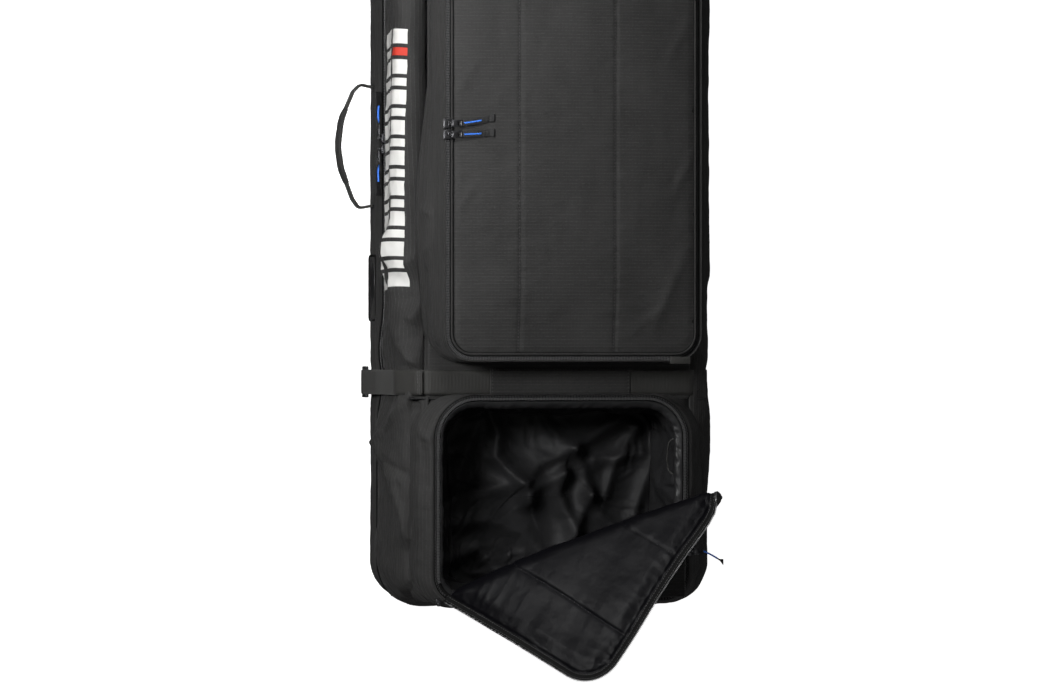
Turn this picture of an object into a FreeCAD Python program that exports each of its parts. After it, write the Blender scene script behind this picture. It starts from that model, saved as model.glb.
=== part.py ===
import FreeCAD, Part
import math
import os
import re
import Sketcher
from FreeCAD import Placement, Rotation, Vector

# Long padded equipment bag lying on its back, in millimetres.
# +Y runs along the bag, +X across it and +Z up out of its front face.
# The origin is the centre of the back panel's underside.

DRIVING = {
    # the bag as a whole
    "bag_width": 480, "bag_length": 1400, "corner_radius": 60, "wall": 4,
    "base_height": 113, "zipper_line": 117, "lid_bottom": 121,
    "shoulder_height": 215, "lid_height": 250, "shoulder_inset": 35,
    "lid_wall": 5, "lid_radius": 40, "clearance": 0.3,
    # stiffening of the back
    "board_inset": 15, "board_radius": 50, "board_thickness": 3, "foam_thickness": 10,
    # main zipper
    "tape_proud": 1.5, "tape_depth": 9, "tape_end": 180, "piping_radius": 1.5, "piping_end": 80,
    # front pocket
    "pocket_width": 406, "pocket_length": 664, "pocket_height": 78, "pocket_taper": 4,
    "pocket_radius": 45, "pocket_wall": 4, "coil_height": 3, "coil_width": 2.7, "coil_gap": 0.6,
    "door_tape": 7.2, "door_thickness": 5, "door_end": 150,
    # boot compartment
    "boot_width": 406, "boot_top": -388, "boot_foot": -699, "boot_rim": 272,
    "mouth_width": 382, "mouth_top": -392, "mouth_foot": -694, "mouth_radius": 56,
    "mouth_foot_radius": 26, "boot_top_radius": 64, "divider_thickness": 4, "boot_floor_top": 126,
    "lining_width": 364, "lining_thickness": 1.5, "lining_top": 261, "hem_width": 7, "hem_height": 8,
    # boot flap, which folds along two creases
    "flap_margin": 1.5, "flap_top": 276.5, "shell_thickness": 2, "quilt_thickness": 4,
    "flap_tape": 2, "crease_gap": 1, "slider_stop": -613, "root_angle": 65, "tip_angle": 84.5,
    # compression straps
    "strap_offset": 366, "strap_width": 38, "strap_thickness": 2, "strap_side": 243,
    "strap_lift": 1.5, "sleeve_length": 220, "sleeve_width": 43, "sleeve_height": 6,
    "buckle_reach": 247.5, "buckle_middle": 48, "bar_pitch": 12, "bar_radius": 2,
    "buckle_width": 48, "tail_end": 205,
    # zipper sliders and their pulls
    "slider_length": 15, "slider_width": 14, "slider_height": 5, "bar_height": 8.3,
    "pin_radius": 1.2, "pin_clearance": 0.08, "eye_radius": 2.8, "puller_length": 21,
    "puller_width": 7, "puller_thickness": 2.4, "tab_length": 50, "short_tab": 31,
    "tab_width": 10, "tab_thickness": 1.6,
    # carry handles
    "handle_level": 60, "handle_hinge": 6.5, "handle_reach": 50, "handle_span": 180,
    "handle_height": 26, "grip_span": 110, "webbing_thickness": 2.4, "grip_thickness": 9,
    "handle_shoulder": 34, "handle_upright": 4, "handle_middle": -4, "patch_depth": 2,
    # where the sliders meet when closed, and small fittings
    "main_slider_middle": -2, "pocket_slider_middle": 12.5, "slider_spacing": 0.75,
    "holder_foot": -271, "holder_head": -172, "holder_low": 28, "holder_high": 72, "holder_depth": 7,
    "loop_foot": -507, "loop_head": -454, "loop_low": 240, "loop_high": 258, "loop_cord": 3,
}

doc = FreeCAD.newDocument("EquipmentBag")
sheet = doc.addObject("Spreadsheet::Sheet", "Dims")
for row, (alias, value) in enumerate(DRIVING.items(), start=1):
    sheet.set(f"A{row}", alias)
    sheet.set(f"B{row}", str(value))
    sheet.setAlias(f"B{row}", alias)
doc.recompute()

nodes = {}


def size(expression):
    """The value of an expression of the sheet's aliases."""
    return float(sheet.evalExpression(str(expression)))


def bind(thing, path, expression):
    """Ties a property to an expression of the sheet's aliases."""
    thing.setExpression(path, re.sub(r"[a-z][a-z_]+", lambda word: "Dims." + word.group(), str(expression)))


def keep(label, thing):
    """Makes an object a sub-part under the name of its file."""
    thing.Label = label
    nodes[label] = thing
    return thing


def block(name, x, y, z):
    """A box between the low and high expressions of each axis."""
    box = doc.addObject("Part::Box", name)
    for side, edge, (low, high) in zip(("Length", "Width", "Height"), "xyz", (x, y, z)):
        bind(box, side, f"({high}) - ({low})")
        bind(box, f"Placement.Base.{edge}", low)
    return box


def rod(name, radius, length, start, direction):
    """A cylinder from a start point along a direction."""
    cylinder = doc.addObject("Part::Cylinder", name)
    bind(cylinder, "Radius", radius)
    bind(cylinder, "Height", length)
    cylinder.Placement = Placement(Vector(*(size(v) for v in start)),
                                   Rotation(Vector(0, 0, 1), Vector(*direction)))
    return cylinder


def cut(name, whole, tool):
    """One object with another taken away."""
    result = doc.addObject("Part::Cut", name)
    result.Base = whole
    result.Tool = tool
    return result


def fuse(name, pieces):
    """Pieces joined into one solid."""
    result = doc.addObject("Part::MultiFuse", name)
    result.Shapes = pieces
    return result


def group(name, pieces):
    """Like pieces that stay separate solids in one sub-part."""
    result = doc.addObject("Part::Compound", name)
    result.Links = pieces
    return result


def new_sketch(body, name, role="XY_Plane", level=None):
    """A sketch on one of its own body's origin planes, raised to a level."""
    sketch = body.newObject("Sketcher::SketchObject", name)
    plane = next(f for f in body.Origin.OriginFeatures if f.Role == role)
    sketch.AttachmentSupport = [(plane, "")]
    sketch.MapMode = "FlatFace"
    if level is not None:
        bind(sketch, "AttachmentOffset.Base.z", level)
    return sketch


def add_outline(sketch, x, y, foot_radius, top_radius):
    """A rectangle with rounded corners, each side and radius tied to the sheet."""
    low_x, high_x, low_y, high_y = (size(v) for v in (*x, *y))
    foot, top = size(foot_radius), size(top_radius)
    corners = ((high_x - foot, low_y + foot, foot), (high_x - top, high_y - top, top),
               (low_x + top, high_y - top, top), (low_x + foot, low_y + foot, foot))
    starts = (Vector(low_x + foot, low_y), Vector(high_x, low_y + foot),
              Vector(high_x - top, high_y), Vector(low_x, high_y - top))
    ends = (Vector(high_x - foot, low_y), Vector(high_x, high_y - top),
            Vector(low_x + top, high_y), Vector(low_x, low_y + foot))
    sides, arcs = [], []
    for turn, (centre_x, centre_y, radius) in enumerate(corners):
        sides.append(sketch.addGeometry(Part.LineSegment(starts[turn], ends[turn])))
        circle = Part.Circle(Vector(centre_x, centre_y), Vector(0, 0, 1), radius)
        first = math.radians(90 * turn - 90)
        arcs.append(sketch.addGeometry(Part.ArcOfCircle(circle, first, first + math.pi / 2)))
    for turn in range(4):
        sketch.addConstraint(Sketcher.Constraint("Tangent", sides[turn], 2, arcs[turn], 1))
        sketch.addConstraint(Sketcher.Constraint("Tangent", arcs[turn], 2, sides[(turn + 1) % 4], 1))
        way = "Horizontal" if turn % 2 == 0 else "Vertical"
        sketch.addConstraint(Sketcher.Constraint(way, sides[turn]))
    for arc, radius in zip(arcs, (foot_radius, top_radius, top_radius, foot_radius)):
        index = sketch.addConstraint(Sketcher.Constraint("Radius", arc, size(radius)))
        bind(sketch, f"Constraints[{index}]", radius)
    for way, side, place in (("DistanceY", sides[0], y[0]), ("DistanceX", sides[1], x[1]),
                             ("DistanceY", sides[2], y[1]), ("DistanceX", sides[3], x[0])):
        ahead = size(place) >= 0
        points = (-1, 1, side, 1) if ahead else (side, 1, -1, 1)
        index = sketch.addConstraint(Sketcher.Constraint(way, *points, abs(size(place))))
        bind(sketch, f"Constraints[{index}]", place if ahead else f"-({place})")


def inset(outline, amount):
    """The same outline moved inwards by an amount."""
    (low_x, high_x), (low_y, high_y), foot, top = outline
    return ((f"{low_x} + ({amount})", f"{high_x} - ({amount})"),
            (f"{low_y} + ({amount})", f"{high_y} - ({amount})"), f"{foot} - ({amount})", f"{top} - ({amount})")


def centred(width, length, radius):
    """An outline with the origin at its middle."""
    return ((f"-({width}) / 2", f"({width}) / 2"), (f"-({length}) / 2", f"({length}) / 2"), radius, radius)


def slab(name, outlines, z):
    """A flat piece padded from one outline, or from two as a ring, between two levels."""
    body = doc.addObject("PartDesign::Body", name)
    sketch = new_sketch(body, name + "_outline")
    for outline in outlines:
        add_outline(sketch, *outline)
    pad = body.newObject("PartDesign::Pad", name + "_pad")
    pad.Profile = sketch
    bind(pad, "Length", f"({z[1]}) - ({z[0]})")
    bind(body, "Placement.Base.z", z[0])
    return body


def lofted_ring(name, sections, wall):
    """A wall of one thickness that passes through outlines at given levels."""
    body = doc.addObject("PartDesign::Body", name)
    for kind, amount in (("AdditiveLoft", 0), ("SubtractiveLoft", wall)):
        sketches = []
        for number, (level, outline) in enumerate(sections):
            sketch = new_sketch(body, f"{name}_{kind}_{number}", level=level)
            add_outline(sketch, *inset(outline, amount))
            sketches.append(sketch)
        loft = body.newObject("PartDesign::" + kind, f"{name}_{kind}")
        loft.Profile = sketches[0]
        loft.Sections = sketches[1:]
        loft.Ruled = True
    return body


def band(name, path, thickness, width, middle, frame):
    """A strip of even thickness along a path of straight runs and arcs.

    The path lies in the plane of frame, a Placement, and the strip is centred on middle across it.
    """
    outline = path.makeOffset2D(thickness / 2, fill=True)
    face = outline if isinstance(outline, Part.Face) else Part.Face(outline.Wires)
    face.translate(Vector(0, 0, middle - width / 2))
    strip = doc.addObject("Part::Feature", name)
    strip.Shape = face.extrude(Vector(0, 0, width))
    strip.Placement = frame
    return strip


def rounded_path(points, radii):
    """A wire along points in the XY plane with an arc of the given radius at each inner point."""
    edges = []
    last = Vector(*points[0])
    for before, corner, after, radius in zip(points, points[1:], points[2:], radii):
        corner = Vector(*corner)
        back = (Vector(*before) - corner).normalize()
        ahead = (Vector(*after) - corner).normalize()
        half = back.getAngle(ahead) / 2
        reach = radius / math.tan(half)
        start, end = corner + back * reach, corner + ahead * reach
        middle = corner + (back + ahead).normalize() * (radius / math.sin(half) - radius)
        if (start - last).Length > 1e-6:
            edges.append(Part.LineSegment(last, start).toShape())
        edges.append(Part.Arc(start, middle, end).toShape())
        last = end
    edges.append(Part.LineSegment(last, Vector(*points[-1])).toShape())
    return Part.Wire(edges)


# Base: the half of the bag that lies on the ground.

bag = centred("bag_width", "bag_length", "corner_radius")
board = inset(centred("bag_width", "bag_length", "board_radius + board_inset"), "board_inset")


def make_base():
    keep("back_panel", slab("BackPanel", [bag], ("0", "wall")))
    keep("base_gusset", slab("BaseGusset", [bag, inset(bag, "wall")], ("wall", "base_height")))
    board_top = "wall + board_thickness"
    keep("back_stiffener_board", slab("Board", [board], ("wall", board_top)))
    keep("base_padding", slab("Padding", [board], (board_top, board_top + " + foam_thickness")))
    piping = rod("Piping", "piping_radius", "bag_length - 2 * piping_end",
                 ("bag_width / 2", "piping_end - bag_length / 2", "zipper_line"), (0, 1, 0))
    keep("lid_hinge_piping", piping)


def zipper_tape(name, z):
    """Half of the main zipper: a band round the left side and both ends."""
    outer = inset(bag, "-tape_proud")
    ring = slab(name + "Ring", [outer, inset(outer, "tape_depth")], z)
    open_side = block(name + "Open", ("tape_end", "bag_width"), ("-bag_length", "bag_length"),
                      ("0", "lid_height"))
    return cut(name, ring, open_side)


def make_main_zipper():
    keep("base_zipper_tape", zipper_tape("BaseTape", ("base_height", "zipper_line - clearance")))
    keep("lid_zipper_tape", zipper_tape("LidTape", ("zipper_line + clearance", "lid_bottom")))


# Lid: the front half, which opens on the long right side.

lid_foot = bag
lid_top = (("shoulder_inset - bag_width / 2", "bag_width / 2 - shoulder_inset"),
           ("-bag_length / 2", "bag_length / 2 - shoulder_inset"), "lid_radius", "lid_radius")


def make_lid():
    sections = [("lid_bottom", lid_foot), ("shoulder_height", lid_foot), ("lid_height", lid_top)]
    keep("lid_gusset", lofted_ring("LidGusset", sections, "lid_wall"))
    (low_x, high_x), (low_y, high_y), _, radius = inset(lid_top, "lid_wall + clearance")
    panel = ((low_x, high_x), ("boot_top", high_y), "2", radius)
    keep("lid_front_panel", slab("FrontPanel", [panel], ("lid_height - wall", "lid_height")))


# Front pocket: a raised box on the lid whose face opens like a door on its right edge.

pocket = centred("pocket_width", "pocket_length", "pocket_radius")
pocket_rim = inset(pocket, "pocket_taper")
rim_level = "lid_height + pocket_height"
door_level = rim_level + " + coil_gap"
door_hinge_x = "pocket_width / 2 - pocket_taper - 1"
door_edge = inset(pocket_rim, "coil_width + coil_gap")


def c_band(name, outer, width, z):
    """A band round three sides of an outline, open on the right."""
    ring = slab(name + "Ring", [outer, inset(outer, width)], z)
    return cut(name, ring, block(name + "Open", ("door_end", "bag_width"),
                                 ("-bag_length", "bag_length"), ("0", "2 * lid_height")))


def make_pocket():
    sections = [("lid_height", pocket), (rim_level, pocket_rim)]
    keep("pocket_gusset", lofted_ring("PocketGusset", sections, "pocket_wall"))
    coil_top = rim_level + " + coil_height"
    keep("pocket_coil_fixed", c_band("PocketCoil", pocket_rim, "coil_width", (rim_level, coil_top)))
    keep("pocket_coil_door", c_band("DoorCoil", door_edge, "door_tape", (door_level, coil_top)))
    door = slab("Door", [inset(door_edge, "door_tape")], (door_level, door_level + " + door_thickness"))
    keep("pocket_door_panel", door)
    welt = block("Welt", ("pocket_width / 2 - pocket_taper - 3.5", "pocket_width / 2 - pocket_taper"),
                 ("pocket_radius - pocket_length / 2", "pocket_length / 2 - pocket_radius"),
                 (rim_level, coil_top))
    keep("pocket_hinge_welt", welt)
    ends = []
    for end in ("foot", "top"):
        near, far = "pocket_length / 2 - pocket_taper + clearance", "pocket_length / 2"
        y = (near, far) if end == "top" else (f"-({far})", f"-({near})")
        ends.append(block("PocketEnd_" + end, ("door_end - 2", "door_end + 20"), y,
                          (rim_level + " - 4", coil_top)))
    keep("pocket_zipper_end_tabs", group("PocketEnds", ends))


# Boot compartment at the foot of the bag, with a raised rim round its mouth.

rim_outline = (("-boot_width / 2", "boot_width / 2"), ("boot_foot", "boot_top"), "lid_radius",
               "boot_top_radius")
mouth = (("-mouth_width / 2", "mouth_width / 2"), ("mouth_foot", "mouth_top"), "mouth_foot_radius",
         "mouth_radius")


def make_boot_compartment():
    keep("boot_rim", slab("BootRim", [rim_outline, mouth], ("lid_height", "boot_rim")))
    inner = inset(bag, "lid_wall")
    floor = (inner[0], (inner[1][0], "boot_top"), inner[2], "2")
    keep("boot_floor", slab("BootFloor", [inset(floor, "clearance")],
                            ("boot_floor_top - wall", "boot_floor_top")))
    keep("boot_divider", make_divider())
    outside = (("-lining_width / 2", "lining_width / 2"),
               ("mouth_foot + hem_width + 3", "mouth_top - hem_width - 1"), "20", "mouth_radius - 8")
    keep("boot_lining", make_lining(outside))
    hem = inset(mouth, "0.2")
    hem_inner = (("-lining_width / 2 - 0.5", "lining_width / 2 + 0.5"),
                 ("mouth_foot + hem_width", "mouth_top - hem_width"), "8", "mouth_radius - 7")
    hem_low = "lining_top + 0.5"
    keep("boot_rim_hem", slab("Hem", [hem, hem_inner], (hem_low, hem_low + " + hem_height")))
    chain = inset(mouth, "-3.5")
    ring = slab("BootChainRing", [chain, inset(chain, "coil_width")],
                ("boot_rim", "boot_rim + coil_height"))
    foot_cut = block("BootChainOpen", ("-bag_width", "bag_width"), ("-bag_length", "mouth_foot"),
                     ("0", "2 * lid_height"))
    keep("boot_zipper_fixed", cut("BootChain", ring, foot_cut))
    stop = block("BootStop", ("-mouth_width / 2 - 6", "-mouth_width / 2 - 1"),
                 ("boot_foot + 1", "mouth_foot - 0.2"), ("boot_rim", "boot_rim + coil_height + 1"))
    keep("boot_zipper_end_stop", stop)
    loop_x = ("lining_width / 2 - 2 * loop_cord", "lining_width / 2 - loop_cord")
    loop = block("LoopOuter", loop_x, ("loop_foot", "loop_head"), ("loop_low", "loop_high"))
    gap = block("LoopGap", ("0", "bag_width"), ("loop_foot + loop_cord", "loop_head - loop_cord"),
                ("loop_low + loop_cord", "loop_high - loop_cord"))
    keep("boot_inner_loop", cut("InnerLoop", loop, gap))


def make_divider():
    """The wall between the main compartment and the boot compartment, shaped to the lid's section."""
    body = doc.addObject("PartDesign::Body", "Divider")
    sketch = new_sketch(body, "Divider_outline", "XZ_Plane")
    inner = size("bag_width / 2 - lid_wall - clearance")
    top = inner - size("shoulder_inset")
    low, shoulder, high = (size(v) for v in ("boot_floor_top", "shoulder_height - 2", "lid_height - 0.2"))
    corners = [(-inner, low), (inner, low), (inner, shoulder), (top, high), (-top, high),
               (-inner, shoulder)]
    points = [Vector(*corner) for corner in corners]
    for start, end in zip(points, points[1:] + points[:1]):
        sketch.addGeometry(Part.LineSegment(start, end))
    for line in range(len(points)):
        sketch.addConstraint(Sketcher.Constraint("Coincident", line, 2, (line + 1) % len(points), 1))
    pad = body.newObject("PartDesign::Pad", "Divider_pad")
    pad.Profile = sketch
    bind(pad, "Length", "divider_thickness")
    pad.Reversed = True
    bind(body, "Placement.Base.y", "boot_top - divider_thickness")
    return body


def make_lining(outline):
    """An open-topped bag of thin cloth."""
    body = slab("Lining", [outline], ("boot_floor_top", "lining_top"))
    hollow = new_sketch(body, "Lining_hollow", level="lining_top - boot_floor_top")
    add_outline(hollow, *inset(outline, "lining_thickness"))
    pocket_cut = body.newObject("PartDesign::Pocket", "Lining_pocket")
    pocket_cut.Profile = hollow
    bind(pocket_cut, "Length", "lining_top - boot_floor_top - lining_thickness")
    return body


# Boot flap: unzipped from its lower left corner, it folds back along two creases.

flap = inset(mouth, "flap_margin")
flap_corner = Vector(size(flap[0][0]), size(flap[1][0]), size("flap_top"))
slider_stop = Vector(size(flap[0][1]), size("slider_stop"), flap_corner.z)
upper_right = Vector(size(flap[0][1]), size(flap[1][1]), flap_corner.z)
root_axis = (slider_stop - flap_corner).normalize()
tip_axis = (upper_right - flap_corner).normalize()
root_fold = Placement(Vector(), Rotation(root_axis, size("root_angle")), flap_corner)
tip_fold = root_fold * Placement(Vector(), Rotation(tip_axis, size("tip_angle")), flap_corner)


def half_plane(name, axis, left):
    """A large block on one side of a crease, standing back from it by the crease gap."""
    side = block(name, ("-bag_width", "2 * bag_width"), ("crease_gap", "bag_width"), ("-20", "20"))
    turn = Rotation(Vector(1, 0, 0), axis)
    if not left:
        turn = turn * Rotation(Vector(0, 0, 1), 180)
    for path in ("Placement.Base.x", "Placement.Base.y", "Placement.Base.z"):
        side.setExpression(path, None)
    local = Vector(-size("bag_width") if left else -2 * size("bag_width"), size("crease_gap"), -20)
    side.Placement = Placement(flap_corner + turn.multVec(local), turn)
    return side


def make_flap():
    panel = inset(flap, "flap_tape")
    layers = {"shell": ([panel], ("flap_top - shell_thickness", "flap_top")),
              "quilt": ([panel], ("flap_top - shell_thickness - quilt_thickness",
                                  "flap_top - shell_thickness")),
              "tape": ([flap, panel], ("flap_top - 4.5", "flap_top - 1.5"))}
    stages = {"flap_base": (None, [(root_axis, False)]),
              "flap_root": (root_fold, [(root_axis, True), (tip_axis, False)]),
              "flap_tip": (tip_fold, [(tip_axis, True)])}
    for stage, (fold, sides) in stages.items():
        for layer, (outlines, z) in layers.items():
            if stage == "flap_base" and layer == "tape":
                continue
            name = f"{stage}_{layer}"
            shapes = [slab(name + "_whole", outlines, z)]
            for number, (axis, left) in enumerate(sides):
                shapes.append(half_plane(f"{name}_side_{number}", axis, left))
            piece = doc.addObject("Part::MultiCommon", name + "_piece")
            piece.Shapes = shapes
            if fold:
                piece.Placement = fold
            keep(name, piece)


# Compression straps: webbing over the lid, doubled back through a three-bar buckle on the left.

across = Placement(Vector(), Rotation(Vector(1, 0, 0), 90))


def strap_path():
    """The strap's middle line, in x and z, from its right end round the buckle to the tail's end."""
    half = size("strap_thickness / 2")
    side = size("strap_side") + half
    top = size("lid_height + strap_lift") + half
    shoulder = size("shoulder_height")
    turn = size("bag_width / 2 - shoulder_inset + 2")
    reach, middle = size("buckle_reach"), size("buckle_middle")
    outer = 2 * reach - side
    tail = size("strap_thickness") + 0.5
    right = [(side, size("lid_bottom") + 3), (side, shoulder + 1), (turn, top), (-turn, top)]
    left = [(-side, shoulder + 1), (-side, middle)]
    up = [(-outer, middle), (-outer, shoulder + 2), (-turn - 3, top + tail),
          (-size("tail_end") + 4, top + tail)]
    first = rounded_path(right + left, [14, 12, 12, 14])
    below_bar = Vector(-reach, middle - (reach - side))
    bend = Part.Arc(Vector(-side, middle), below_bar, Vector(-outer, middle))
    second = rounded_path(up, [18, 12])
    return Part.Wire(first.Edges + [bend.toShape()] + second.Edges)


def make_buckle(name, y):
    """A three-bar buckle: two side rails joined by three bars."""
    reach, pitch, middle = "buckle_reach", "bar_pitch", "buckle_middle"
    rail_y = size("buckle_width / 2") - 2
    rail_x = (f"-{reach} - bar_radius - 0.4", f"-{reach} + bar_radius + 0.4")
    rail_z = (f"{middle} - {pitch} - bar_radius - 0.6", f"{middle} + {pitch} + bar_radius + 0.6")
    pieces = []
    for number in (-1, 0, 1):
        start = (f"-{reach}", f"{y} - buckle_width / 2 + 2", f"{middle} + {number} * {pitch}")
        pieces.append(rod(f"{name}_bar_{number + 1}", "bar_radius", "buckle_width - 4", start, (0, 1, 0)))
    for side in (-1, 1):
        edge = f"{y} + {side * rail_y}"
        pieces.append(block(f"{name}_rail_{side + 1}", rail_x, (edge + " - 2", edge + " + 2"), rail_z))
    return fuse(name, pieces)


def make_straps():
    wall_x = "bag_width / 2 + clearance"
    loop_x = (f"-({wall_x} + strap_thickness)", f"-({wall_x})")
    end_x = (wall_x, wall_x + " + strap_thickness")
    loop_top = "buckle_middle - bar_pitch - bar_radius - 1"
    left_loops, right_ends = [], []
    for end, sign in (("lower", -1), ("upper", 1)):
        y = f"{sign} * strap_offset"
        strip = band("Strap_" + end, strap_path(), size("strap_thickness"), size("strap_width"),
                     -size(y), across)
        keep("compression_strap_" + end, strip)
        width = (y + " - strap_width / 2", y + " + strap_width / 2")
        sleeve_y = (y + " - sleeve_width / 2", y + " + sleeve_width / 2")
        outer = block("Sleeve_" + end, ("-sleeve_length / 2", "sleeve_length / 2"), sleeve_y,
                      ("lid_height", "lid_height + sleeve_height"))
        slot = block("SleeveSlot_" + end, ("-sleeve_length", "sleeve_length"),
                     (width[0] + " - 1", width[1] + " + 1"),
                     ("lid_height + 1", "lid_height + strap_thickness + 2"))
        keep("strap_sleeve_" + end, cut("StrapSleeve_" + end, outer, slot))
        keep("strap_buckle_" + end, make_buckle("Buckle_" + end, y))
        left_loops.append(block("StrapLoop_" + end, loop_x, width, ("6", loop_top)))
        right_ends.append(block("StrapEnd_" + end, end_x, width, ("6", "base_height - 8")))
    keep("strap_anchor_loops", group("StrapLoops", left_loops))
    keep("strap_fixed_ends", group("StrapEnds", right_ends))


# Zipper sliders. In its own frame a slider's pull points along +X, its pin lies along Y and +Z is
# outwards.

def make_slider(name, along_pull, along_pin, tab, place):
    """A slider body with its pin, the puller on the pin and the pull tab, all moved by place."""
    floor = block(name + "_block", (f"-{along_pull} / 2", f"{along_pull} / 2"),
                  (f"-{along_pin} / 2", f"{along_pin} / 2"), ("0", "slider_height"))
    posts = [block(f"{name}_post_{side + 1}", ("-1.8", "1.8"), (f"{side} * 3.5 - 0.6", f"{side} * 3.5 + 0.6"),
                   ("slider_height", "bar_height + pin_radius")) for side in (-1, 1)]
    pin = rod(name + "_pin", "pin_radius", "8", ("0", "-4", "bar_height"), (0, 1, 0))
    eye = rod(name + "_eye", "eye_radius", "4.8", ("0", "-2.4", "bar_height"), (0, 1, 0))
    half = "puller_thickness / 2"
    level = (f"bar_height - {half}", f"bar_height + {half}")
    neck = block(name + "_neck", ("0", "5"), ("-2.4", "2.4"), level)
    blade = block(name + "_blade", ("3.6", "puller_length"), ("-puller_width / 2", "puller_width / 2"), level)
    hole = rod(name + "_hole", "pin_radius + pin_clearance", "10", ("0", "-5", "bar_height"), (0, 1, 0))
    ribbon = block(name + "_ribbon", ("puller_length", f"puller_length + {tab}"),
                   ("-tab_width / 2", "tab_width / 2"),
                   ("bar_height - tab_thickness / 2", "bar_height + tab_thickness / 2"))
    pieces = {"body": fuse(name + "_slider", [floor, *posts, pin]),
              "puller": cut(name + "_puller", fuse(name + "_lever", [eye, neck, blade]), hole),
              "tab": group(name + "_tab", [ribbon])}
    for part, piece in pieces.items():
        piece.Placement = place
        keep(f"{name}_{part}", piece)


def make_sliders():
    gap = size("slider_length / 2 + slider_spacing")
    wall_x = -size("bag_width / 2 + tape_proud") - 0.5
    mid_y = size("main_slider_middle")
    for end, sign in (("upper", 1), ("lower", -1)):
        outwards = Rotation(Vector(0, sign, 0), Vector(0, 0, sign), Vector(-1, 0, 0), "ZXY")
        place = Placement(Vector(wall_x, mid_y + sign * gap, size("zipper_line")), outwards)
        make_slider("main_slider_" + end, "slider_length", "slider_width", "tab_length", place)
    chain_x = -size("pocket_width / 2 - pocket_taper - coil_width - coil_gap / 2")
    chain_z = size(rim_level + " + coil_height") + 0.4
    mid_y = size("pocket_slider_middle")
    for end, sign in (("upper", 1), ("lower", -1)):
        place = Placement(Vector(chain_x, mid_y + sign * gap, chain_z), Rotation())
        make_slider("pocket_slider_" + end, "slider_width", "slider_length", "tab_length", place)
    flap_x = size("mouth_width / 2 - flap_margin + slider_width / 2") + 0.5
    place = Placement(Vector(flap_x, size("slider_stop - slider_length / 2") - 1.5,
                             size("boot_rim + coil_height") + 0.4), Rotation())
    make_slider("flap_slider", "slider_width", "slider_length", "short_tab", place)


# Carry handles: webbing bowed out from the wall, with a padded grip on its middle.

def handle_path(half_span, margin):
    """The webbing's middle line, bowed along +Y and hinged on the X axis."""
    reach = size("handle_reach")
    foot = size("handle_span / 2")
    shoulder, upright = foot - size("handle_shoulder"), foot - size("handle_upright")
    low, high = reach * 0.42, reach * 0.84
    if half_span is None:
        points = [(-foot, margin), (-upright, low), (-shoulder, high), (0, reach),
                  (shoulder, high), (upright, low), (foot, margin)]
        return rounded_path(points, [14, 40, 240, 40, 14])
    drop = (reach - high) * half_span / shoulder
    return rounded_path([(-half_span, reach - drop), (0, reach), (half_span, reach - drop)], [240])


def narrowing(length, height):
    """A space that is narrow at the hinge axis and widens outwards, so that the handle can swing."""
    root, spread = 2.5, 0.9
    far = 2 * length
    profile = [Vector(-length, -root, -0.1), Vector(-length, far, -root - spread * far),
               Vector(-length, far, root + spread * far), Vector(-length, -root, 0.1)]
    return Part.Face(Part.makePolygon(profile + profile[:1])).extrude(Vector(2 * length, 0, 0))


def make_handle(name, place):
    """A handle in the XY plane of its own frame, with its ends on the X axis."""
    height = size("handle_height")
    webbing_thickness, grip_thickness = size("webbing_thickness"), size("grip_thickness")
    strip = handle_path(None, 0).makeOffset2D(webbing_thickness / 2, fill=True)
    strip = strip.extrude(Vector(0, 0, height - 4))
    strip.translate(Vector(0, 0, -(height - 4) / 2))
    webbing = doc.addObject("Part::Feature", name + "_strip")
    webbing.Shape = strip.common(narrowing(size("handle_span"), height))
    webbing.Placement = place
    keep(name + "_webbing", webbing)
    grip_path = handle_path(size("grip_span / 2"), 0)
    sleeve = grip_path.makeOffset2D(grip_thickness / 2, fill=True).extrude(Vector(0, 0, height))
    sleeve.translate(Vector(0, 0, -height / 2))
    core = handle_path(None, 0).makeOffset2D(webbing_thickness / 2 + 0.3, fill=True)
    core = core.extrude(Vector(0, 0, height - 3))
    core.translate(Vector(0, 0, -(height - 3) / 2))
    grip = doc.addObject("Part::Feature", name + "_sleeve")
    grip.Shape = sleeve.cut(core)
    grip.Placement = place
    keep(name + "_grip", grip)


def make_handles():
    level = size("handle_level")
    side_x = -size("bag_width / 2 + handle_hinge")
    side = Placement(Vector(side_x, size("handle_middle"), level), Rotation(Vector(0, 0, 1), 90))
    make_handle("side_handle", side)
    top = Placement(Vector(0, size("bag_length / 2 + handle_hinge"), level), Rotation())
    make_handle("top_handle", top)
    foot = size("handle_span / 2")
    low, high = level - 15, level + 15
    patches = []
    for side in (-1, 1):
        near, far = "bag_width / 2 + clearance", "bag_width / 2 + clearance + patch_depth"
        patches.append(block(f"SidePatch_{side + 1}", (f"-({far})", f"-({near})"),
                             (side * foot - 18, side * foot + 10), (low, high)))
        near, far = "bag_length / 2 + clearance", "bag_length / 2 + clearance + patch_depth"
        patches.append(block(f"TopPatch_{side + 1}", (side * foot - 14, side * foot + 14), (near, far),
                             (low, high)))
    keep("handle_anchors", group("HandleAnchors", patches))
    card = block("IdHolder", ("-bag_width / 2 - holder_depth", "-bag_width / 2 - clearance"),
                 ("holder_foot", "holder_head"), ("holder_low", "holder_high"))
    keep("id_holder", card)


def write_parts():
    """Checks every object and writes one file for each sub-part."""
    doc.recompute()
    for thing in doc.Objects:
        if "Invalid" in thing.State or "Error" in thing.State:
            raise RuntimeError(f"{thing.Name} failed: {thing.State}")
    os.makedirs("parts", exist_ok=True)
    for label, thing in nodes.items():
        shape = thing.Shape
        if shape.isNull() or not shape.isValid() or not shape.Solids:
            raise RuntimeError(f"{label} has no valid solid")
        shape.exportStep(f"parts/{label}.step")
        print(f"{label:28s} {len(shape.Solids)} solids {shape.Volume / 1000:9.2f} cm3")


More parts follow.
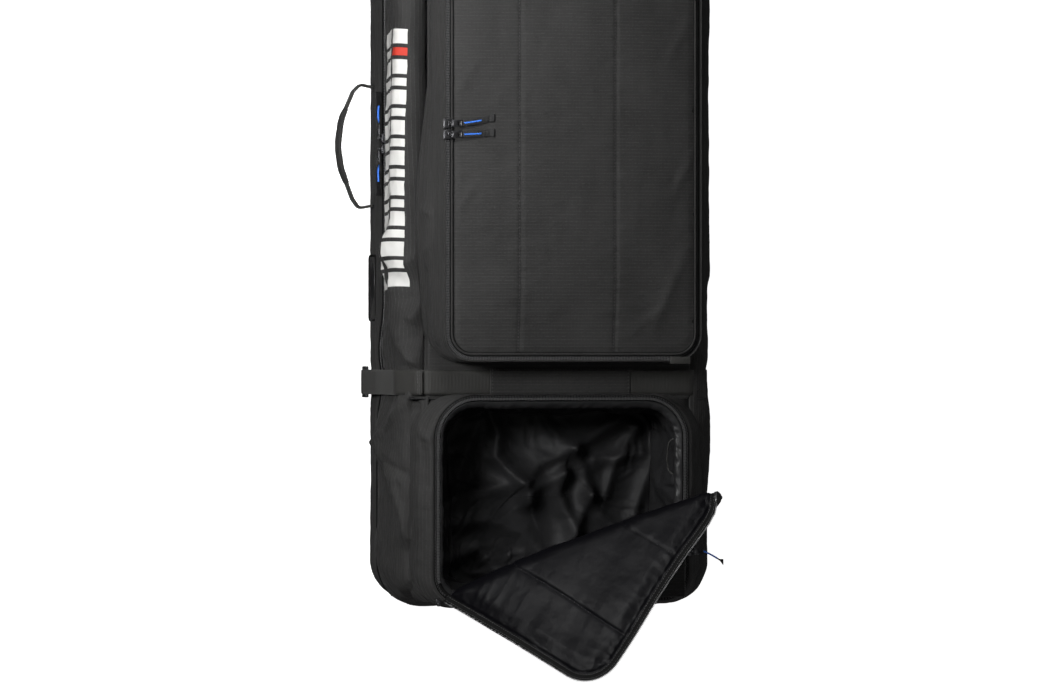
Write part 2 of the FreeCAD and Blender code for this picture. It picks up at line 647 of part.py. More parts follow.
make_base()
make_main_zipper()
make_lid()
make_pocket()
make_boot_compartment()
make_flap()
make_straps()
make_sliders()
make_handles()
write_parts()
print(len(nodes), "sub-parts")
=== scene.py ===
import bmesh
import bpy
import math
import numpy as np
from mathutils import Matrix, Vector


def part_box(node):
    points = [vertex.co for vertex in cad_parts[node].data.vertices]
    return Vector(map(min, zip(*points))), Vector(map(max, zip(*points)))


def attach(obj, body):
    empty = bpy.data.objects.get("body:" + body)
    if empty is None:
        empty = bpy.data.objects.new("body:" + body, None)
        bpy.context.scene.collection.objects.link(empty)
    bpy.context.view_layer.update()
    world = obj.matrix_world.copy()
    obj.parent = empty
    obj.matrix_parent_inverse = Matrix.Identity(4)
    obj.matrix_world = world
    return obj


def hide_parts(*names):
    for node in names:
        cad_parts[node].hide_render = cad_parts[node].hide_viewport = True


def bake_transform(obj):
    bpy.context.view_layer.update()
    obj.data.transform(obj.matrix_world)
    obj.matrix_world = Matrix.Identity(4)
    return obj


# A padded bag lying on its back. Shapes are worked out in millimetres in the frame's axes
# (+X across, +Y along, +Z up) and written to meshes in metres.

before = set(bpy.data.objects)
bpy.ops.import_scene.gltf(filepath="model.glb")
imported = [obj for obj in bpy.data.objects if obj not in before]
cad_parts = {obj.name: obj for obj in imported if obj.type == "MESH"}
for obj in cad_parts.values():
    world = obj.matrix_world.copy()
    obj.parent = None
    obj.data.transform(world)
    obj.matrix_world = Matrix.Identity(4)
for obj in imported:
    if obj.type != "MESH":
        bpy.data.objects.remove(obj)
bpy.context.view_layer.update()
MM = 0.001
UP = np.array([0, 0, 1.0])


def box_mm(node):
    """Lowest and highest corner of a CAD node in millimetres."""
    low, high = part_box(node)
    return np.array(low) / MM, np.array(high) / MM


BASE_HIGH = box_mm("base_gusset")[1]
LID_LOW, LID_HIGH = box_mm("lid_gusset")
POCKET_LOW, POCKET_HIGH = box_mm("pocket_gusset")
DOOR_LOW, DOOR_HIGH = box_mm("pocket_door_panel")
RIM_HIGH = box_mm("boot_rim")[1]
HALF_WIDTH, HALF_LENGTH, BASE_TOP = BASE_HIGH
LID_BOTTOM, LID_TOP = LID_LOW[2], LID_HIGH[2]
ZIP_LEVEL = (BASE_TOP + LID_BOTTOM) / 2
STRAP_Y = 366.0

# Rectangles with rounded corners: their sides, corner radii, and how many points their short sides,
# corners and long sides have.
FULL = (-HALF_WIDTH, HALF_WIDTH, -HALF_LENGTH, HALF_LENGTH)
CORNER = 60.0
COUNTS = (70, 22, 380)
TOP_OUTLINE = (-205.0, 205.0, -HALF_LENGTH, 665.0)
LID_TOP_CORNER = 40.0
POCKET_RIM = (-199.0, 199.0, -333.0, 328.0)
POCKET_CORNER = 41
POCKET_COUNTS = (130, 22, 200)
MOUTH = (-201.5, 196.0, -696.0, -385.5)
BOOT_COUNTS = (130, 30, 120)

# Heights at which the shape changes.
EDGE_ROUND = 38.0
SHOULDER_START = 203.0
POCKET_FOOT, POCKET_RISE = 250.5, 77.5
RIM_TOP = 271.8

# ---------------------------------------------------------------- numbers


def smooth(low, high, value):
    """0 below low, 1 above high and an even curve between."""
    t = np.clip((value - low) / (high - low), 0, 1)
    return t * t * (3 - 2 * t)


def unit(vectors):
    """Vectors brought to length 1."""
    return vectors / np.maximum(np.linalg.norm(vectors, axis=-1, keepdims=True), 1e-9)


def run_length(points):
    """Length along a polyline up to each of its points."""
    return np.concatenate([[0], np.cumsum(np.linalg.norm(np.diff(points, axis=0), axis=-1))])


def points_at(places, length, points):
    """Points at given lengths along a polyline."""
    return np.stack([np.interp(places, length, points[:, axis]) for axis in range(points.shape[1])], axis=-1)


def at_level(points, level):
    """Plane points raised to one height."""
    return np.column_stack([points, np.full(len(points), level)])


def lattice(seed):
    """A shuffled table and gradients for the noise."""
    rng = np.random.default_rng(seed)
    table = rng.permutation(256)
    gradients = rng.normal(size=(256, 3))
    return table, gradients / np.linalg.norm(gradients, axis=1)[:, None]


def noise(points, seed=0):
    """Smooth gradient noise, about -1 to 1, at points in cells of size 1."""
    table, gradients = lattice(seed)
    points = np.asarray(points, float)
    cell = np.floor(points).astype(int)
    part = points - cell
    fade = part ** 3 * (part * (part * 6 - 15) + 10)
    total = np.zeros(points.shape[:-1])
    for corner in np.ndindex(2, 2, 2):
        spot = (cell + corner) & 255
        index = table[(table[(table[spot[..., 0]] + spot[..., 1]) & 255] + spot[..., 2]) & 255]
        weight = np.prod(np.where(np.array(corner) == 1, fade, 1 - fade), axis=-1)
        total += weight * np.sum(gradients[index] * (part - corner), axis=-1)
    return total * 1.7


def ripple(points, size, seed, octaves=3):
    """Layered noise with a main cell of the given size in each axis."""
    points = np.asarray(points, float) / np.asarray(size, float)
    total, share = 0, 1.0
    for octave in range(octaves):
        total = total + share * noise(points * 2 ** octave, seed + octave)
        share *= 0.5
    return total


def crumple(points, size, seed, octaves=3):
    """Layered noise with sharp crests, like creased cloth."""
    points = np.asarray(points, float) / np.asarray(size, float)
    total, share = 0, 1.0
    for octave in range(octaves):
        total = total + share * (0.5 - np.abs(noise(points * 1.9 ** octave, seed + octave)) * 1.6)
        share *= 0.5
    return total


def segment_distance(points, start, end):
    """Distance of plane points from a segment, and how far along it they are, from 0 to 1."""
    start, end = np.array(start, float), np.array(end, float)
    along = end - start
    share = np.clip(((points - start) @ along) / (along @ along), 0, 1)
    return np.linalg.norm(points - start - share[..., None] * along, axis=-1), share


def fold(points, start, end, width, height):
    """A crease or a puffed fold along a segment, dying away at both ends."""
    distance, share = segment_distance(points, start, end)
    return height * np.exp(-(distance / width) ** 2) * np.sin(math.pi * np.clip(share, 0.02, 0.98)) ** 0.6


def polyline_distance(points, line):
    """Distance of plane points from a polyline, positive on its left."""
    line = np.array(line, float)
    best = np.full(points.shape[:-1], 1e9)
    side = np.ones(points.shape[:-1])
    for start, end in zip(line[:-1], line[1:]):
        distance, _ = segment_distance(points, start, end)
        ahead, away = end - start, points - start
        turn = ahead[0] * away[..., 1] - ahead[1] * away[..., 0]
        near = distance < best
        best = np.where(near, distance, best)
        side = np.where(near, np.sign(turn), side)
    return best * side


def folds(points, table, crisp=False):
    """Height of listed folds: each has a line, a width on either side of it and a height."""
    total = 0
    for line, left_width, right_width, height in table:
        distance = polyline_distance(points, line)
        width = np.where(distance > 0, left_width, right_width)
        reach = np.abs(distance) / width
        shape = np.exp(1 - np.sqrt(1 + (reach * 1.5) ** 2)) if crisp else np.exp(-reach ** 2)
        total = total + height * shape
    return total


# ---------------------------------------------------------------- meshes


def grid_normals(grid, closed):
    """Unit normals of a grid of points, rows by columns."""
    across = np.roll(grid, -1, 1) - np.roll(grid, 1, 1) if closed else np.gradient(grid, axis=1)
    return unit(np.cross(across, np.gradient(grid, axis=0)))


def box_coordinates(mesh):
    """Cloth coordinates from the two axes along which each face mostly lies."""
    count, corners = len(mesh.polygons), len(mesh.loops)
    normal, total = np.zeros(count * 3), np.zeros(count, int)
    index, place = np.zeros(corners, int), np.zeros(len(mesh.vertices) * 3)
    mesh.polygons.foreach_get("normal", normal)
    mesh.polygons.foreach_get("loop_total", total)
    mesh.loops.foreach_get("vertex_index", index)
    mesh.vertices.foreach_get("co", place)
    axis = np.repeat(np.abs(normal.reshape(-1, 3)).argmax(axis=1), total)
    place = place.reshape(-1, 3)[index]
    pick = np.array([(1, 2), (0, 2), (0, 1)])[axis]
    layer = mesh.uv_layers.new(name="cloth")
    layer.data.foreach_set("uv", np.take_along_axis(place, pick, axis=1).astype(np.float32).ravel())


def new_object(name, vertices, faces, materials=(), uvs=None, face_materials=None, smooth_faces=True):
    """A mesh object from millimetre points. uvs is one pair of metres for each face corner."""
    mesh = bpy.data.meshes.new(name)
    mesh.from_pydata((np.asarray(vertices) * MM).tolist(), [], [list(map(int, f)) for f in faces])
    if uvs is not None:
        layer = mesh.uv_layers.new(name="cloth")
        layer.data.foreach_set("uv", np.asarray(uvs, np.float32).ravel() * MM)
    elif len(faces) < 30000:
        box_coordinates(mesh)
    for material in materials:
        mesh.materials.append(material)
    if face_materials is not None:
        mesh.polygons.foreach_set("material_index", np.asarray(face_materials, np.int32))
    mesh.polygons.foreach_set("use_smooth", [smooth_faces] * len(mesh.polygons))
    mesh.validate()
    thing = bpy.data.objects.new(name, mesh)
    bpy.context.scene.collection.objects.link(thing)
    return thing


def grid_cells(rows, columns, closed):
    """Row and column of each cell of a grid whose columns may wrap round."""
    return np.meshgrid(np.arange(rows - 1), np.arange(columns if closed else columns - 1), indexing="ij")


def grid_faces(rows, columns, closed, offset=0, flip=False):
    """Quads of a grid."""
    row, column = grid_cells(rows, columns, closed)
    right = (column + 1) % columns
    quads = np.stack([row * columns + column, row * columns + right,
                      (row + 1) * columns + right, (row + 1) * columns + column], axis=-1)
    quads = quads.reshape(-1, 4) + offset
    return quads[:, ::-1] if flip else quads


def grid_lengths(grid, closed):
    """Cloth coordinates of a grid: length along the middle row, and along each column."""
    middle = grid[len(grid) // 2]
    along = run_length(np.vstack([middle, middle[:1]]) if closed else middle)
    down = np.concatenate([[0], np.cumsum(np.linalg.norm(np.diff(grid, axis=0), axis=2).mean(1))])
    return along, down


def grid_uvs(grid, closed, flip=False, flat=None):
    """Face-corner cloth coordinates in the order of grid_faces."""
    along, down = grid_lengths(grid, closed)
    row, column = grid_cells(*grid.shape[:2], closed)
    corners = [(column, row), (column + 1, row), (column + 1, row + 1), (column, row + 1)]
    if flip:
        corners = corners[::-1]
    if flat is not None:
        return np.stack([flat[r, c] for c, r in corners], axis=2).reshape(-1, 2)
    return np.stack([np.stack([along[c], down[r]], -1) for c, r in corners], axis=2).reshape(-1, 2)


def cloth_object(name, grid, materials, closed=False, thickness=1.0, flip=False, flat=None,
                 back_slots=None):
    """A sheet of cloth over a grid of points, with a back face and closed edges.

    The grid is the outer face. The back lies a thickness behind it and takes the second material.
    flat gives the grid's place on the uncut cloth, where that isn't worked out from its lengths.
    """
    grid = np.asarray(grid, float)
    rows, columns = grid.shape[:2]
    count = rows * columns
    back = grid - grid_normals(grid, closed) * (-1 if flip else 1) * thickness
    front_faces = grid_faces(rows, columns, closed, 0, flip)
    back_faces = grid_faces(rows, columns, closed, count, not flip)
    if back_slots is None:
        back_slots = np.full(len(back_faces), min(1, len(materials) - 1))
    else:
        back_slots = back_slots[:-1, :-1].ravel()
    step = np.arange(columns if closed else columns - 1)
    sides = [(row * columns + step, row * columns + (step + 1) % columns, turn)
             for row, turn in ((0, False), (rows - 1, True))]
    if not closed:
        down = np.arange(rows - 1) * columns
        sides += [(down + column, down + columns + column, turn)
                  for column, turn in ((0, True), (columns - 1, False))]
    edges = []
    for a, b, turn in sides:
        quads = np.stack([a, b, b + count, a + count], axis=-1)
        edges.append(quads[:, ::-1] if turn != flip else quads)
    edges = np.vstack(edges)[:, ::-1]
    uvs = [grid_uvs(grid, closed, flip, flat), grid_uvs(grid, closed, not flip, flat),
           np.zeros((len(edges) * 4, 2))]
    slots = np.concatenate([np.zeros(len(front_faces), int), back_slots, np.zeros(len(edges), int)])
    return new_object(name, np.vstack([grid.reshape(-1, 3), back.reshape(-1, 3)]),
                      np.vstack([front_faces, back_faces, edges]), materials, np.vstack(uvs), slots)


def outline(x_low, x_high, y_low, y_high, foot_radius, top_radius, counts=(64, 14, 190)):
    """Points, outward normals and lengths round a rectangle with rounded corners, counter-clockwise
    from its lower left. Outlines of the same counts match point for point."""
    short, arc, long_side = counts
    points, normals = [], []
    corners = ((x_high - foot_radius, y_low + foot_radius, foot_radius),
               (x_high - top_radius, y_high - top_radius, top_radius),
               (x_low + top_radius, y_high - top_radius, top_radius),
               (x_low + foot_radius, y_low + foot_radius, foot_radius))
    starts = ((x_low + foot_radius, y_low), (x_high, y_low + foot_radius),
              (x_high - top_radius, y_high), (x_low, y_high - top_radius))
    ends = ((x_high - foot_radius, y_low), (x_high, y_high - top_radius),
            (x_low + top_radius, y_high), (x_low, y_low + foot_radius))
    for turn, (centre_x, centre_y, radius) in enumerate(corners):
        number = short if turn % 2 == 0 else long_side
        share = np.arange(number)[:, None] / number
        points.append(np.array(starts[turn]) * (1 - share) + np.array(ends[turn]) * share)
        angle = math.radians(90 * turn - 90)
        normals.append(np.tile([math.cos(angle), math.sin(angle)], (number, 1)))
        angles = angle + np.arange(arc) / arc * math.pi / 2
        ray = np.stack([np.cos(angles), np.sin(angles)], -1)
        points.append(np.array([centre_x, centre_y]) + radius * ray)
        normals.append(ray)
    return np.vstack(points), np.vstack(normals)


def ring(points, normals, profile):
    """Rows of a wall that follows an outline. profile gives each row's outward offset and height."""
    return np.stack([at_level(points + normals * out, height) for out, height in profile])


def directions(path, closed=False):
    """Unit directions along a path."""
    return unit(np.roll(path, -1, 0) - np.roll(path, 1, 0) if closed else np.gradient(path, axis=0))


def tube(path, radius, sides=8, closed=False, flat=1.0, up=(0, 0, 1)):
    """Vertices and faces of a round or flattened tube along points in millimetres."""
    path = np.asarray(path, float)
    ahead = directions(path, closed)
    side = np.cross(ahead, np.array(up, float))
    weak = np.linalg.norm(side, axis=1) < 1e-3
    side[weak] = np.cross(ahead[weak], (1.0, 0.0, 0.0))
    side = unit(side)
    lift = np.cross(side, ahead)
    angle = (np.arange(sides) / sides * 2 * math.pi)[None, :, None]
    radius = np.broadcast_to(np.asarray(radius, float), (len(path),))[:, None, None]
    grid = (path[:, None] + side[:, None] * (np.cos(angle) * radius)
            + lift[:, None] * (np.sin(angle) * radius * flat))
    faces = [list(face) for face in grid_faces(len(path), sides, True)]
    first, last = np.arange(sides), (len(path) - 1) * sides + np.arange(sides)
    if closed:
        faces += [[last[k], last[(k + 1) % sides], first[(k + 1) % sides], first[k]] for k in range(sides)]
    else:
        faces += [list(first)[::-1], list(last)]
    return grid.reshape(-1, 3), faces


def joined(parts):
    """Several vertex and face lists as one."""
    vertices, faces, count = [], [], 0
    for part_vertices, part_faces in parts:
        vertices.append(np.asarray(part_vertices, float))
        faces += [[index + count for index in face] for face in part_faces]
        count += len(part_vertices)
    return np.vstack(vertices), faces


def finish_piece(thing, body, slot, *nodes):
    """Hangs a piece on the empty of the body that it rides on and hides the CAD nodes that it stands for. Its
    finish, slot, is not used.
    """
    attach(thing, body)
    if nodes:
        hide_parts(*nodes)
    return thing


def solid_piece(name, part, material, body, slot, *nodes, smooth_faces=True):
    """A finished piece of one material from vertices and faces."""
    thing = new_object(name, *part, (material,), smooth_faces=smooth_faces)
    return finish_piece(thing, body, slot, *nodes)


# ---------------------------------------------------------------- materials


class Nodes:
    """A short way to write a shader's nodes."""

    def __init__(self, name, colour, roughness, metallic=0.0, specular=0.5):
        self.material = bpy.data.materials.new(name)
        self.material.use_nodes = True
        self.tree = self.material.node_tree
        self.shader = self.tree.nodes["Principled BSDF"]
        self.shader.inputs["Base Color"].default_value = (*colour, 1)
        self.shader.inputs["Roughness"].default_value = roughness
        self.shader.inputs["Metallic"].default_value = metallic
        self.shader.inputs["Specular IOR Level"].default_value = specular

    def add(self, kind, **values):
        node = self.tree.nodes.new("ShaderNode" + kind)
        for key, value in values.items():
            setattr(node, key, value)
        return node

    def link(self, source, target):
        self.tree.links.new(source, target)

    def put(self, socket, value):
        if hasattr(value, "links"):
            self.link(value, socket)
        else:
            socket.default_value = value

    def maths(self, operation, first, second=0.0, third=0.0):
        node = self.add("Math", operation=operation)
        for socket, value in zip(node.inputs, (first, second, third)):
            self.put(socket, value)
        return node.outputs[0]

    def blend(self, share, first, second):
        """A colour between two, by a share from 0 to 1."""
        node = self.add("Mix", data_type="RGBA")
        self.put(node.inputs[0], share)
        for socket, value in ((node.inputs[6], first), (node.inputs[7], second)):
            self.put(socket, value if hasattr(value, "links") else (*value, 1))
        return node.outputs[2]

    def cloth(self):
        """Cloth coordinates in metres: along and across the weave."""
        pin = self.add("UVMap", uv_map="cloth")
        split = self.add("SeparateXYZ")
        self.link(pin.outputs[0], split.inputs[0])
        return split.outputs[0], split.outputs[1]

    def place(self):
        """Object coordinates in metres."""
        return self.add("TexCoord").outputs["Object"]

    def wave(self, value, pitch, power=1.0):
        """A ridge once in each pitch, from 0 to 1."""
        turned = self.maths("MULTIPLY", value, 2 * math.pi / pitch)
        raised = self.maths("MULTIPLY_ADD", self.maths("COSINE", turned), 0.5, 0.5)
        return raised if power == 1 else self.maths("POWER", raised, power)

    def noise(self, scale, detail=3.0, vector=None):
        node = self.add("TexNoise")
        node.inputs["Scale"].default_value = scale
        node.inputs["Detail"].default_value = detail
        self.link(vector or self.place(), node.inputs["Vector"])
        return node.outputs[0]

    def bump(self, height, strength, distance, below=None):
        node = self.add("Bump")
        node.inputs["Strength"].default_value = strength
        node.inputs["Distance"].default_value = distance
        self.link(height, node.inputs["Height"])
        if below is not None:
            self.link(below, node.inputs["Normal"])
        return node.outputs[0]

    def done(self, colour=None, roughness=None, normal=None, sheen=0.0):
        if colour is not None:
            self.link(colour, self.shader.inputs["Base Color"])
        if roughness is not None:
            self.link(roughness, self.shader.inputs["Roughness"])
        if normal is not None:
            self.link(normal, self.shader.inputs["Normal"])
        if sheen:
            self.shader.inputs["Sheen Weight"].default_value = sheen
            self.shader.inputs["Sheen Roughness"].default_value = 0.45
        return self.material


def toned(colour, *factors):
    """The colour made darker or lighter by each factor."""
    return [tuple(min(1, channel * factor) for channel in colour) for factor in factors]


def ripstop(name, colour, cell=0.0052, contrast=0.8):
    """Woven polyester with a raised thread every few millimetres each way."""
    n = Nodes(name, colour, 0.62, specular=0.2)
    along, across = n.cloth()
    grid = n.maths("MAXIMUM", n.maths("MULTIPLY", n.wave(along, cell, 14), 0.3), n.wave(across, cell, 10))
    threads = n.maths("MULTIPLY", n.wave(along, 0.00085), n.wave(across, 0.00085))
    slubs = n.noise(900, 2)
    flecks = n.noise(420, 2)
    cloudy = n.noise(9, 4)
    light, dark = toned(colour, 1 + contrast, 1 - 0.45 * contrast)
    base = n.blend(n.maths("MULTIPLY", threads, 0.8), dark, colour)
    lined = n.blend(n.maths("MULTIPLY", grid, 0.75), base, light)
    flecked = n.blend(n.maths("MULTIPLY_ADD", flecks, 2.4, -0.75), dark, lined)
    shade = n.blend(n.maths("MULTIPLY_ADD", cloudy, 0.6, -0.15), flecked, light)
    height = n.maths("ADD", n.maths("MULTIPLY", threads, 0.5), n.maths("MULTIPLY", grid, 0.9))
    height = n.maths("ADD", height, n.maths("MULTIPLY", slubs, 0.35))
    fine = n.bump(height, 0.8, 0.0004)
    normal = n.bump(n.noise(55, 3), 0.3, 0.0012, fine)
    rough = n.maths("MULTIPLY_ADD", slubs, 0.18, 0.54)
    return n.done(shade, rough, normal, sheen=0.04)


def webbing(name, colour):
    """Flat woven strap with ribs across it and a firm edge."""
    n = Nodes(name, colour, 0.6, specular=0.4)
    along, across = n.cloth()
    ribs = n.wave(along, 0.0022)
    yarns = n.wave(across, 0.0016)
    height = n.maths("ADD", ribs, n.maths("MULTIPLY", yarns, 0.5))
    dark, light = toned(colour, 0.55, 1.35)
    woven = n.blend(n.maths("MULTIPLY", height, 0.62), dark, light)
    shade = n.blend(n.maths("MULTIPLY", n.noise(14, 4), 0.45), woven, dark)
    return n.done(shade, n.maths("MULTIPLY_ADD", ribs, 0.14, 0.5), n.bump(height, 0.7, 0.0004), sheen=0.1)


def nylon(name, colour, roughness, specular):
    """Thin coated nylon: smooth, a little glossy, finely crinkled."""
    n = Nodes(name, colour, roughness, specular=specular)
    along, across = n.cloth()
    threads = n.maths("MULTIPLY", n.wave(along, 0.0006), n.wave(across, 0.0006))
    crinkle = n.noise(140, 5)
    soft = n.noise(35, 3)
    shade = n.blend(n.maths("MULTIPLY", soft, 0.6), *toned(colour, 0.75, 1.25))
    fine = n.bump(threads, 0.25, 0.0002)
    creased = n.bump(crinkle, 0.18, 0.001, fine)
    rough = n.maths("MULTIPLY_ADD", crinkle, 0.2, roughness - 0.1)
    return n.done(shade, rough, n.bump(soft, 0.25, 0.003, creased))


def tape_cloth(name, colour):
    """Knitted zipper tape with ribs along it."""
    n = Nodes(name, colour, 0.68, specular=0.08)
    along, across = n.cloth()
    ribs = n.maths("ADD", n.wave(across, 0.0011), n.maths("MULTIPLY", n.wave(along, 0.0014), 0.6))
    shade = n.blend(n.maths("MULTIPLY", ribs, 0.5), *toned(colour, 0.6, 1))
    return n.done(shade, None, n.bump(ribs, 0.6, 0.0003))


def plastic(name, colour, roughness):
    """Moulded plastic with a fine grain."""
    n = Nodes(name, colour, roughness, specular=0.5)
    grain = n.noise(1200, 2)
    wear = n.noise(90, 4)
    rough = n.maths("MULTIPLY_ADD", wear, 0.2, roughness - 0.08)
    shade = n.blend(n.maths("MULTIPLY", wear, 0.4), *toned(colour, 1, 1.6))
    return n.done(shade, rough, n.bump(grain, 0.2, 0.0001))


def metal(name, colour, roughness):
    """Dark coated metal, a little worn."""
    n = Nodes(name, colour, roughness, metallic=0.85, specular=0.6)
    wear = n.noise(160, 5)
    shade = n.blend(n.maths("MULTIPLY", wear, 0.55), *toned(colour, 1, 2.2))
    return n.done(shade, n.maths("MULTIPLY_ADD", wear, 0.22, roughness - 0.1), n.bump(wear, 0.12, 0.0002))


def print_ink(name, colour):
    """Matt ink printed on the weave."""
    n = Nodes(name, colour, 0.55, specular=0.3)
    along, across = n.cloth()
    threads = n.maths("MULTIPLY", n.wave(along, 0.00085), n.wave(across, 0.00085))
    shade = n.blend(n.maths("MULTIPLY", threads, 0.35), *toned(colour, 0.86, 1))
    return n.done(shade, None, n.bump(threads, 0.5, 0.0003))


OUTER = ripstop("ripstop_outer", (0.034, 0.0335, 0.033))
WEBBING = webbing("webbing_strap", (0.027, 0.0265, 0.024))
LINING = nylon("lining_nylon", (0.0190, 0.0190, 0.0200), 0.54, 0.2)
HEM = nylon("hem_nylon", (0.0190, 0.0190, 0.0200), 0.44, 0.35)
QUILT = nylon("quilt_nylon", (0.0036, 0.0035, 0.0046), 0.36, 0.08)
TAPE = tape_cloth("zipper_tape_cloth", (0.0095, 0.0095, 0.0095))
COIL = plastic("zipper_coil_nylon", (0.08, 0.08, 0.081), 0.34)
PLASTIC = plastic("moulded_black", (0.012, 0.012, 0.0125), 0.34)
METAL = metal("coated_metal", (0.05, 0.05, 0.053), 0.3)
THREAD = plastic("sewing_thread", (0.055, 0.055, 0.056), 0.6)
PULL = webbing("pull_tab_webbing", (0.0075, 0.0075, 0.0078))
BLUE = plastic("blue_thread", (0.035, 0.17, 0.72), 0.5)
INK = print_ink("white_print", (0.78, 0.775, 0.75))
ACCENT = print_ink("red_print", (0.62, 0.05, 0.03))

# ---------------------------------------------------------------- shared cloth shapes


def rounded_sheet(x_low, x_high, y_low, y_high, foot_radius, top_radius, columns, rows):
    """A grid of plane points that fills a rectangle with rounded corners."""
    foot, top = y_low + foot_radius, y_high - top_radius
    bend = np.sin(np.linspace(0, math.pi / 2, 15))
    heights = np.concatenate([y_low + foot_radius * (1 - bend[::-1][:-1]), np.linspace(foot, top, rows - 28),
                              y_high - top_radius * (1 - bend[1:])])
    inset = 0
    for radius, past in ((foot_radius, foot - heights), (top_radius, heights - top)):
        inset = inset + radius - np.sqrt(np.maximum(radius ** 2 - np.maximum(past, 0) ** 2, 0))
    share = np.linspace(0, 1, columns)[None]
    x = (x_low + inset[:, None]) * (1 - share) + (x_high - inset[:, None]) * share
    return np.stack([x, np.broadcast_to(heights[:, None], x.shape)], axis=-1)


def edge_distance(points, x_low, x_high, y_low, y_high, radius):
    """Distance inward from the edge of a rounded rectangle."""
    middle = np.array([(x_low + x_high) / 2, (y_low + y_high) / 2])
    half = np.array([(x_high - x_low) / 2, (y_high - y_low) / 2])
    q = np.abs(points - middle) - half + radius
    outside = np.linalg.norm(np.maximum(q, 0), axis=-1)
    return radius - outside - np.minimum(np.max(q, axis=-1), 0)


def lifted(grid, amount, closed=False):
    """The grid moved along its own normals."""
    return grid + grid_normals(grid, closed) * np.asarray(amount)[..., None]


def deepened(flat):
    """Plane points with a third coordinate of 0, for the noise."""
    return np.concatenate([flat, flat[..., :1] * 0], axis=-1)


def pinch(y):
    """How strongly the two compression straps pull in at a place along the bag, 0 to 1."""
    return np.exp(-((np.abs(y) - STRAP_Y) / 40) ** 2)


def bars(centres, directions, ups, length, width, height):
    """Many small bevelled bars: vertices and faces. Length lies along each direction."""
    sides = np.cross(directions, ups)
    corner = []
    for level, inset in ((-0.5, 1.0), (0.5, 0.72)):
        for a, b in ((-1, -1), (1, -1), (1, 1), (-1, 1)):
            corner.append(centres + directions * (a * length / 2 * inset) + sides * (b * width / 2 * inset)
                          + ups * (level * height))
    vertices = np.stack(corner, axis=1).reshape(-1, 3)
    block = np.array([[0, 1, 2, 3], [7, 6, 5, 4], [1, 0, 4, 5], [2, 1, 5, 6], [3, 2, 6, 7], [0, 3, 7, 4]])
    faces = (np.arange(len(centres))[:, None, None] * 8 + block[None]).reshape(-1, 4)
    return vertices, faces.tolist()


def resample(path, step, closed=False):
    """Points at an even step along a polyline, with their directions."""
    path = np.asarray(path, float)
    if closed:
        path = np.vstack([path, path[:1]])
    length = run_length(path)
    places = np.linspace(0, length[-1], max(2, int(length[-1] / step)), endpoint=not closed)
    ahead, behind = (points_at(places + shift, length, path) for shift in (step * 0.5, -step * 0.5))
    return points_at(places, length, path), unit(ahead - behind)


def facing(points, line, ups):
    """Outward directions at points near a line: the same for all, or the nearest of the line's own."""
    if np.ndim(ups) == 1:
        return np.tile(np.asarray(ups, float), (len(points), 1))
    return ups[[np.argmin(np.sum((line - point) ** 2, axis=1)) for point in points]]


def seam(line, ups, pitch=4.5, closed=False, lift=0.15, size=(2.8, 0.7, 0.5)):
    """A row of sewn stitches along a line: vertices and faces."""
    points, direction = resample(line, pitch, closed)
    ups = facing(points, line, ups)
    return bars(points + ups * lift, direction, ups, *size)


def coil(line, ups, pitch, size):
    """One side of a zipper's coil as a row of teeth across a line: vertices and faces."""
    points, direction = resample(line, pitch)
    ups = facing(points, line, ups)
    return bars(points, np.cross(ups, direction), ups, *size)


def sewn_piece(name, rows, body, slot="outer_fabric"):
    """Rows of stitches as one piece."""
    return solid_piece(name, joined(rows), THREAD, body, slot, smooth_faces=False)


# ---------------------------------------------------------------- base half


def zip_swell(x, y):
    """How far the filled bag pushes its zipper outwards on the left, near its foot."""
    return 9.5 * smooth(-150, -228, x) * smooth(-240, -345, y) * (1 - 0.8 * pinch(y))


def base_shell():
    points, normals = outline(*FULL, CORNER, CORNER, COUNTS)
    profile = [(EDGE_ROUND * (math.cos(a) - 1), max(EDGE_ROUND * (1 - math.sin(a)), 0.5))
               for a in np.linspace(math.pi / 2, 0, 12)]
    profile += [(0, height) for height in np.linspace(EDGE_ROUND + 4, BASE_TOP - 6, 16)]
    profile += [(-0.6, BASE_TOP - 3), (-1.0, BASE_TOP)]
    grid = ring(points, normals, profile)
    x, y, height = np.moveaxis(grid, -1, 0)
    swell = 4.5 * np.sin(math.pi * np.clip(height / BASE_TOP, 0, 1)) * (1 - 0.7 * pinch(y))
    swell = swell * (1 - 0.45 * np.abs(normals[:, 1]) ** 2)
    wrinkle = 1.3 * ripple(grid, (60, 190, 26), 11) + 0.8 * crumple(grid, (30, 60, 22), 15)
    wrinkle += 1.4 * crumple(grid, (40, 26, 60), 18) * pinch(y)
    fade = smooth(0, 14, height) * smooth(0, 10, BASE_TOP - height)
    swell = swell + zip_swell(x, y) * smooth(58, 108, height)
    grid = lifted(grid, swell + wrinkle * fade, closed=True)
    grid[..., 2] = np.maximum(grid[..., 2], 0.5)
    shell = cloth_object("base_shell", grid, (OUTER, LINING), closed=True, thickness=2.6)
    finish_piece(shell, "base", "outer_fabric", "base_gusset")
    x, y = HALF_WIDTH - 34, HALF_LENGTH - 34
    inner = rounded_sheet(-x, x, -y, y, 26, 26, 60, 150)
    level = 1.2 + 0.5 * ripple(deepened(inner), (70, 90, 50), 21)
    panel = cloth_object("base_back_panel", np.dstack([inner, level]), (LINING, OUTER), thickness=1.1)
    finish_piece(panel, "base", "outer_fabric", "back_panel")


